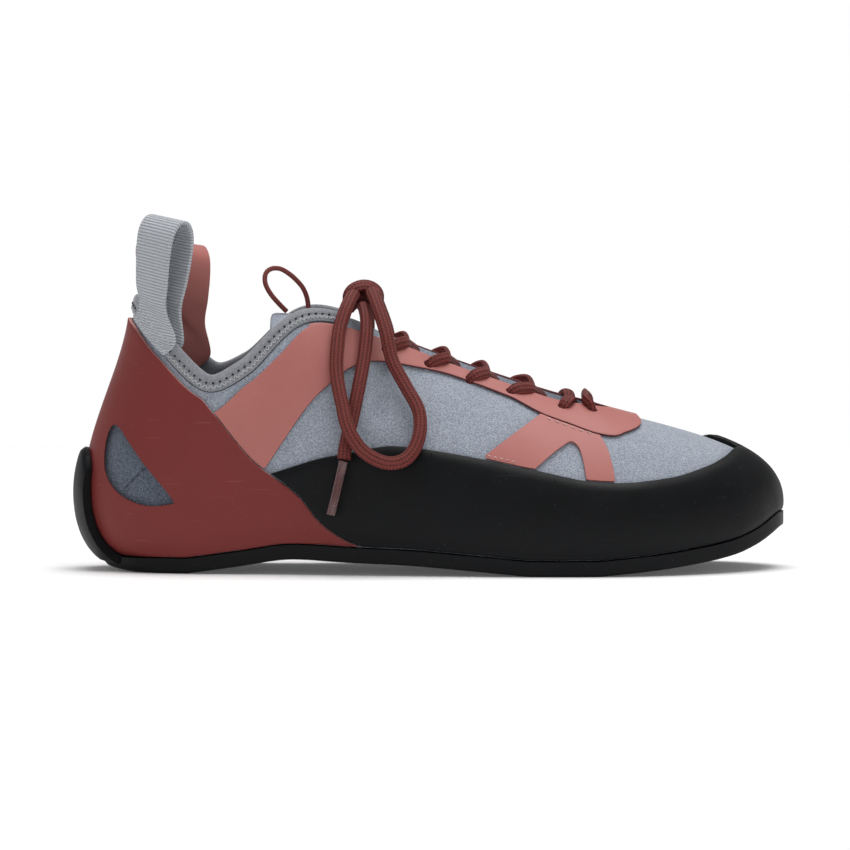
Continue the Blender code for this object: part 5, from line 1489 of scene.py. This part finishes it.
for number in range(1, len(EYELETS_ALONG)):
    strands = []
    for side, lift in ((-1, OUTER_STRAND_LIFT), (1, INNER_STRAND_LIFT)):
        route = place(np.array(crossing_strand(side, number, lift)))
        tube, _ = lace(
            f"strand_{number}_{side}", route, LACE_WIDTH, LACE_THICKNESS, FACES_UP, pinch=PINCH_LENGTH
        )
        strands.append(tube)
    crossing = join(f"lace_crossing_{number}", strands)
    hand_over(crossing, [lace_braid], [f"lace_crossing_{number}"])

left_t, right_t = eyelet(-1, 0)[0], eyelet(1, 0)[0]
bar_near, bar_far = lace_point(left_t, 0.985), lace_point(right_t, 0.985)
bar_route = [
    *up_through(-1, 0, left_t), bar_near, *over_tongue(bar_near, bar_far, BAR_LIFT), bar_far,
    *up_through(1, 0, right_t)[::-1],
]
bar, _ = lace(
    "lace_bar", place(np.array(bar_route)), LACE_WIDTH, LACE_THICKNESS, FACES_UP, pinch=PINCH_LENGTH
)
hand_over(bar, [lace_braid], ["lace_bar"])

# %% [markdown]
# ## Bow
# The free lace hangs as the picture shows it: two loops and two ends, each of its real length, with
# their routes written as points in metres. The knot is a core with three turns of lace round it.
# %% Routes of the bow, in metres
OUTER_LOOP_ROUTE = (
    (0.0707, -0.0082, 0.1008), (0.0701, -0.0130, 0.1002), (0.0683, -0.0205, 0.0965),
    (0.0660, -0.0258, 0.0895), (0.0651, -0.0300, 0.0822), (0.0648, -0.0335, 0.0750),
    (0.0655, -0.0365, 0.0690), (0.0668, -0.0395, 0.0628), (0.0693, -0.0435, 0.0532),
    (0.0747, -0.0437, 0.0453), (0.0831, -0.0430, 0.0411), (0.0904, -0.0425, 0.0429),
    (0.0946, -0.0395, 0.0502), (0.0946, -0.0352, 0.0593), (0.0898, -0.0313, 0.0683),
    (0.0850, -0.0285, 0.0774), (0.0826, -0.0255, 0.0877), (0.0795, -0.0190, 0.0968),
    (0.0777, -0.0125, 0.1012), (0.0777, -0.0082, 0.1018),
)
OUTER_END_ROUTE = (
    (0.0743, -0.0082, 0.0964), (0.0747, -0.0130, 0.0960), (0.0755, -0.0185, 0.0928),
    (0.0757, -0.0225, 0.0885), (0.0753, -0.0258, 0.0834), (0.0743, -0.0298, 0.0760),
    (0.0729, -0.0335, 0.0683), (0.0716, -0.0357, 0.0620), (0.0704, -0.0372, 0.0562),
    (0.0690, -0.0388, 0.0508), (0.0680, -0.0402, 0.0459), (0.0676, -0.0410, 0.0423),
)
OUTER_AGLET_ROUTE = ((0.0675, -0.0411, 0.0416), (0.0653, -0.0415, 0.0322), (0.0629, -0.0415, 0.0223))
INNER_LOOP_ROUTE = (
    (0.0707, 0.0082, 0.1008), (0.0701, 0.0130, 0.1002), (0.0681, 0.0205, 0.0965),
    (0.0658, 0.0260, 0.0895), (0.0650, 0.0296, 0.0822), (0.0650, 0.0320, 0.0750),
    (0.0658, 0.0342, 0.0680), (0.0674, 0.0361, 0.0610), (0.0702, 0.0382, 0.0540),
    (0.0750, 0.0386, 0.0478), (0.0815, 0.0380, 0.0450), (0.0876, 0.0370, 0.0470),
    (0.0912, 0.0355, 0.0532), (0.0914, 0.0335, 0.0610), (0.0884, 0.0310, 0.0690),
    (0.0848, 0.0290, 0.0774), (0.0826, 0.0260, 0.0877), (0.0795, 0.0190, 0.0968),
    (0.0777, 0.0125, 0.1012), (0.0777, 0.0082, 0.1018),
)
INNER_END_ROUTE = (
    (0.0743, 0.0082, 0.0964), (0.0747, 0.0130, 0.0960), (0.0755, 0.0186, 0.0928),
    (0.0757, 0.0226, 0.0885), (0.0753, 0.0258, 0.0834), (0.0745, 0.0286, 0.0760),
    (0.0733, 0.0304, 0.0690), (0.0721, 0.0315, 0.0620), (0.0709, 0.0323, 0.0550),
    (0.0697, 0.0330, 0.0485),
)
INNER_AGLET_ROUTE = ((0.0696, 0.0331, 0.0478), (0.0682, 0.0336, 0.0385), (0.0669, 0.0341, 0.0285))
TONGUE_CORD_ROUTE = (
    (0.0460, -0.0030, 0.0947), (0.0432, -0.0042, 0.0976), (0.0402, -0.0050, 0.1012),
    (0.0383, -0.0050, 0.1050), (0.0384, -0.0042, 0.1085), (0.0404, -0.0030, 0.1103),
    (0.0436, -0.0015, 0.1103), (0.0468, 0.0000, 0.1085), (0.0496, 0.0012, 0.1060),
    (0.0520, 0.0022, 0.1030), (0.0535, 0.0028, 0.0990), (0.0540, 0.0030, 0.0940),
)
KNOT_PLACE = np.array([0.0742, 0.0, 0.0998])
KNOT_SIZE = (0.0056, 0.0076, 0.0046)
BOW_WIDTH = 0.0050
BOW_THICKNESS = 0.0042
TONGUE_CORD_DIAMETER = 0.0018

# %% Knot
KNOT_CORE_SHARE = 0.95
KNOT_SQUARENESS = 0.6
TURN_WIDTH = 0.0054
TURN_THICKNESS = 0.0024
TURN_INSET = 0.0002
# Per turn, how far it lies from the knot's middle and how much it slants, in metres
KNOT_TURNS = ((-0.0058, 0.0006), (-0.0003, -0.0014), (0.0056, 0.0008))

bpy.ops.object.select_all(action="DESELECT")
bpy.ops.mesh.primitive_uv_sphere_add(segments=40, ring_count=24, radius=1.0)
core = bpy.context.object
ball = vertex_places(core.data)
ball[:, 1] = np.sign(ball[:, 1]) * np.abs(ball[:, 1]) ** KNOT_SQUARENESS
ball = ball * np.array(KNOT_SIZE) * KNOT_CORE_SHARE + KNOT_PLACE
core.data.vertices.foreach_set("co", ball.ravel())
turns = [core]
for number, (shift, tilt) in enumerate(KNOT_TURNS):
    angle = np.linspace(-2.6, 2.6, 27)
    around = np.stack([
        (KNOT_SIZE[0] - TURN_INSET) * np.sin(angle),
        shift + tilt * np.sin(angle),
        (KNOT_SIZE[2] - TURN_INSET) * np.cos(angle),
    ], -1)
    turn, _ = lace(f"knot_turn_{number}", KNOT_PLACE + around, TURN_WIDTH, TURN_THICKNESS, tuple(around[0]))
    turns.append(turn)
knot = join("lace_knot", turns)
hand_over(knot, [lace_braid], ["lace_knot"])


# %% [markdown]
# An end of lace finishes in its tip: the braid goes on thinner inside a clear film that is shrunk
# round it, and the film's mouth stays open.
# %% Loops, ends and tips
AGLET_DIAMETER = 0.0039
AGLET_FILM = 0.00035
PRESSED_DIAMETER = AGLET_DIAMETER - 0.0009
BOW_FACES = (0.3, 0.0, 1.0)


def make_tip(name, points):
    """A clear sleeve along a route, with the pressed braid inside it."""
    inside, _ = lace(name + "_core", points, PRESSED_DIAMETER, PRESSED_DIAMETER, (0, 1, 0), 12)
    inside.data.materials.append(lace_braid)
    start, end = np.array(points[0]), np.array(points[-1])
    depth = float(np.linalg.norm(end - start))
    bpy.ops.object.select_all(action="DESELECT")
    bpy.ops.mesh.primitive_cylinder_add(vertices=32, radius=1, depth=1, end_fill_type="NOTHING")
    sleeve = bpy.context.object
    bpy.ops.object.mode_set(mode="EDIT")
    bpy.ops.mesh.select_all(action="SELECT")
    bpy.ops.mesh.normals_make_consistent(inside=False)
    bpy.ops.object.mode_set(mode="OBJECT")
    run = (end - start) / depth
    across = np.cross(run, (0, 1, 0))
    across /= np.linalg.norm(across)
    above = np.cross(run, across)
    for vertex in sleeve.data.vertices:
        x, y, z = vertex.co
        vertex.co = start + run * depth * (0.5 + z) + AGLET_DIAMETER / 2 * (x * across + y * above)
    apply(sleeve, "SOLIDIFY", thickness=AGLET_FILM, offset=-1)
    sleeve.data.materials.append(clear_film)
    return sleeve, inside


def hang(name, points, node_name):
    """One stretch of free lace, which takes the place of its solid."""
    tube, route = lace(name, points, BOW_WIDTH, BOW_THICKNESS, BOW_FACES)
    hand_over(tube, [lace_braid], [node_name])
    return tube


for word, loop_route, end_route, tip_route in (
    ("outer", OUTER_LOOP_ROUTE, OUTER_END_ROUTE, OUTER_AGLET_ROUTE),
    ("inner", INNER_LOOP_ROUTE, INNER_END_ROUTE, INNER_AGLET_ROUTE),
):
    hang(f"lace_loop_{word}", loop_route, f"lace_loop_{word}")
    sleeve, inside = make_tip(f"aglet_{word}", tip_route)
    tip = join(f"aglet_{word}", [inside, sleeve])
    hand_over(tip, [], [f"aglet_{word}"])
    hang(f"lace_end_{word}", end_route, f"lace_end_{word}")

# %% Tongue pull cord
pull_cord, cord_route = lace(
    "tongue_pull_cord", TONGUE_CORD_ROUTE, TONGUE_CORD_DIAMETER, TONGUE_CORD_DIAMETER, (0, 1, 0), 12
)
hand_over(pull_cord, [cord_braid], ["tongue_pull_cord"])


# %% [markdown]
# ## Stitches
# One stitch is a small capsule. It is modelled once, then copied along each seam into one mesh. The
# binding has a zigzag low down and a row of needle holes above it; the forks and the foot of the
# outer pull loop are sewn with straight stitches.
# %% A row of stitches
def stitch_row(name, starts, ends, outs, radius, finish):
    """Copies of one capsule, each from a start to an end, pressed onto a surface with these normals."""
    bpy.ops.object.select_all(action="DESELECT")
    bpy.ops.mesh.primitive_uv_sphere_add(segments=8, ring_count=6, radius=1.0)
    model = bpy.context.object
    shape = vertex_places(model.data)
    faces = [tuple(face.vertices) for face in model.data.polygons]
    bpy.data.objects.remove(model)
    points, all_faces = [], []
    for start, end, out in zip(starts, ends, outs):
        run = (end - start) / 2
        side = np.cross(out, run)
        side /= np.linalg.norm(side)
        lean = np.cross(run, side)
        lean /= np.linalg.norm(lean)
        bow = (1 - shape[:, 2:] ** 2) * radius * 0.6
        first = len(points) * len(shape)
        sideways, outwards = radius * shape[:, :1], radius * shape[:, 1:2] + bow
        points.append((start + end) / 2 + shape[:, 2:] * run + sideways * side + outwards * lean)
        all_faces += [tuple(first + i for i in face) for face in faces]
    mesh = bpy.data.meshes.new(name)
    mesh.from_pydata(np.concatenate(points).tolist(), [], all_faces)
    row = bpy.data.objects.new(name, mesh)
    bpy.context.scene.collection.objects.link(row)
    hand_over(row, [finish])
    return row


def even_steps(t, line, pitch):
    """Stations a real pitch apart along a line of points."""
    run = walked(line)
    return np.interp(np.arange(pitch, run[-1] - pitch, pitch), run, t)


# %% Binding seam
STITCH_PITCH = 0.0018
BINDING_THREAD_RADIUS = 0.00019
HOLE_PITCH = 0.0026
HOLE_HALF_LENGTH = 0.00045
HOLE_RADIUS = 0.00036

fine_t = np.linspace(-COLLAR_END + 0.05, COLLAR_END - 0.05, 900)
stations = even_steps(fine_t, on_binding(fine_t, 1.0, 0.5), STITCH_PITCH / 2)
lows, highs = place(on_binding(stations, 1.05, 0.16)), place(on_binding(stations, 1.02, 0.38))
zig = np.where(np.arange(len(stations))[:, None] % 2 == 0, lows, highs)
outs = collar_frame(stations)[1]
stitch_row(
    "binding_stitches", zig[:-1], zig[1:], outs[:-1], BINDING_THREAD_RADIUS, pale_thread
)
# The dark capsules in the binding are painted shade, put where the needle holes are.
holes_t = even_steps(fine_t, on_binding(fine_t, 1.0, 0.5), HOLE_PITCH)
hole_at = place(on_binding(holes_t, 0.84, 0.50))
hole_run = place(on_binding(holes_t + 0.002, 0.84, 0.50)) - hole_at
hole_run *= HOLE_HALF_LENGTH / np.linalg.norm(hole_run, axis=-1, keepdims=True)
stitch_row(
    "binding_needle_holes", hole_at - hole_run, hole_at + hole_run, collar_frame(holes_t)[1],
    HOLE_RADIUS, needle_hole,
)

# %% Seams on the side view
SEAM_THREAD_RADIUS = 0.00026


def surface_line(side, places, count, out):
    """Evenly many points along a line on the side view, and the normals there."""
    t, v = find(side, places)
    order = np.linspace(0, len(t) - 1, count)
    t, v = np.interp(order, range(len(t)), t), np.interp(order, range(len(v)), v)
    return place(offset(t, v, np.full(count, out))), normal(t, v)


def sew(name, side, places, stitch, gap, finish, out):
    """Stitches of a real length and gap along a line on the side view."""
    line, outs = surface_line(side, places, 400, out)
    run = walked(line)
    begin = np.arange(gap / 2, run[-1] - stitch, stitch + gap)
    starts, ends = between(begin, run, line), between(begin + stitch, run, line)
    return stitch_row(name, starts, ends, between(begin, run, outs), SEAM_THREAD_RADIUS, finish)


# %% Fork seams and window seam
OVERLAY_TOP = OVERLAY_GAP + OVERLAY_THICKNESS
FORK_SEAM = ((0.658, 0.570), (0.676, 0.550), (0.694, 0.532), (0.712, 0.514), (0.728, 0.503))
FORK_FOOT = ((0.574, 0.425), (0.590, 0.415), (0.606, 0.404), (0.622, 0.392))
WINDOW_SEAM = ((0.0880, 0.374), (0.0700, 0.322), (0.0520, 0.270))

for side, word in ((-1, "outer"), (1, "inner")):
    for part, line, stitch, gap in (
        ("seam", FORK_SEAM, 0.0020, 0.0011),
        ("foot", FORK_FOOT, 0.0012, 0.0010),
    ):
        name = f"fork_{part}_{word}"
        sew(name, side, line, stitch, gap, pink_thread, OVERLAY_TOP)
sew("window_seam", -1, WINDOW_SEAM, 0.0024, 0.0004, dark_thread, 0.0)

# %% Pin marks in the rand's edge
PIN_MARKS = ((0.497, 0.4326), (0.671, 0.324))
PIN_MARK_RADIUS = 0.0006
PIN_MARK_HALF_LENGTH = 0.0002

mark_t, mark_v = find(-1, PIN_MARKS)
marks = place(offset(mark_t, mark_v, np.full(len(mark_t), GAP + RAND_THICKNESS - PIN_MARK_RADIUS / 2)))
mark_run = np.array([PIN_MARK_HALF_LENGTH, 0.0, 0.0])
stitch_row(
    "pin_marks", marks - mark_run, marks + mark_run, normal(mark_t, mark_v),
    PIN_MARK_RADIUS, needle_hole,
)

# %% Foot of the outer pull loop
ZIGZAG_POINTS = 19
ZIGZAG_HEIGHT = 0.0009
ZIGZAG_THREAD_RADIUS = 0.00024

base, out, up, foot = outer_foot
along = np.linspace(0, 3, ZIGZAG_POINTS)
at, outs_here, ups_here = (between(along, range(4), rows) for rows in (base, out, up))
for number, height in enumerate((0.30, 0.80)):
    line = place(at + outs_here * (foot + WEBBING_THICKNESS / 2) + ups_here * height * BINDING_HEIGHT)
    zig = line + ups_here * ZIGZAG_HEIGHT * np.where(np.arange(ZIGZAG_POINTS)[:, None] % 2 == 0, 1, -1)
    stitch_row(
        f"pull_loop_stitches_{number}", zig[:-1], zig[1:], outs_here[:-1],
        ZIGZAG_THREAD_RADIUS, pale_thread,
    )


# %% [markdown]
# ## Floor and light
# The shoe stands on a plain pale floor in soft studio light. One large panel hangs over the shoe and
# one behind it, which give the pale top edges, and a weak one beside the camera opens the shadows.
# The world is a white wall up to a little above the horizon, and dimmer overhead.
# %% Floor
FLOOR_SIZE = 1.8
WALL_TOP = 0.12
WALL_FADE = 0.30
OVERHEAD = 0.26
MIDDLE = (0.09, 0.0, 0.04)

bpy.ops.object.select_all(action="DESELECT")
bpy.ops.mesh.primitive_grid_add(
    x_subdivisions=4, y_subdivisions=4, size=FLOOR_SIZE, location=(MIDDLE[0], 0, 0)
)
floor = bpy.context.object
floor.name = "floor"
floor_paint, floor_tree, floor_shader = new_finish("floor_paper")
connect(floor_tree, floor_shader, {
    "Base Color": "FAFAFA", "Roughness": 0.9, "Emission Color": "FFFFFF", "Emission Strength": 0.07,
})
floor.data.materials.append(floor_paint)


# %% Lamps and surroundings
def panel(name, location, size, power):
    """A square soft light that faces the shoe."""
    away = np.array(location) - np.array(MIDDLE)
    bpy.ops.object.light_add(type="AREA", location=location, rotation=turn_to(away))
    light = bpy.context.object
    light.name = name
    light.data.size = size
    light.data.energy = power


panel("top_panel", (0.30, -0.15, 1.6), size=1.2, power=11.6)
panel("front_panel", (0.5, -1.8, 0.8), size=0.9, power=1.6)
panel("rear_panel", (0.1, 0.5, 2.6), size=2.0, power=42)

world = bpy.context.scene.world or bpy.data.worlds.new("studio")
bpy.context.scene.world = world
world.use_nodes = True
sky_tree = world.node_tree
direction = add_node(sky_tree, "TexCoord", {}, "Generated")
upward = add_node(sky_tree, "SeparateXYZ", {"Vector": direction}, "Z")
glow = add_node(sky_tree, "MapRange", {
    "Value": upward, "From Min": WALL_TOP, "From Max": WALL_FADE, "To Min": 1.0, "To Max": OVERHEAD,
})
connect(sky_tree, sky_tree.nodes["Background"], {"Color": "FFFFFF", "Strength": glow})
bpy.context.scene.view_settings.view_transform = "Standard"
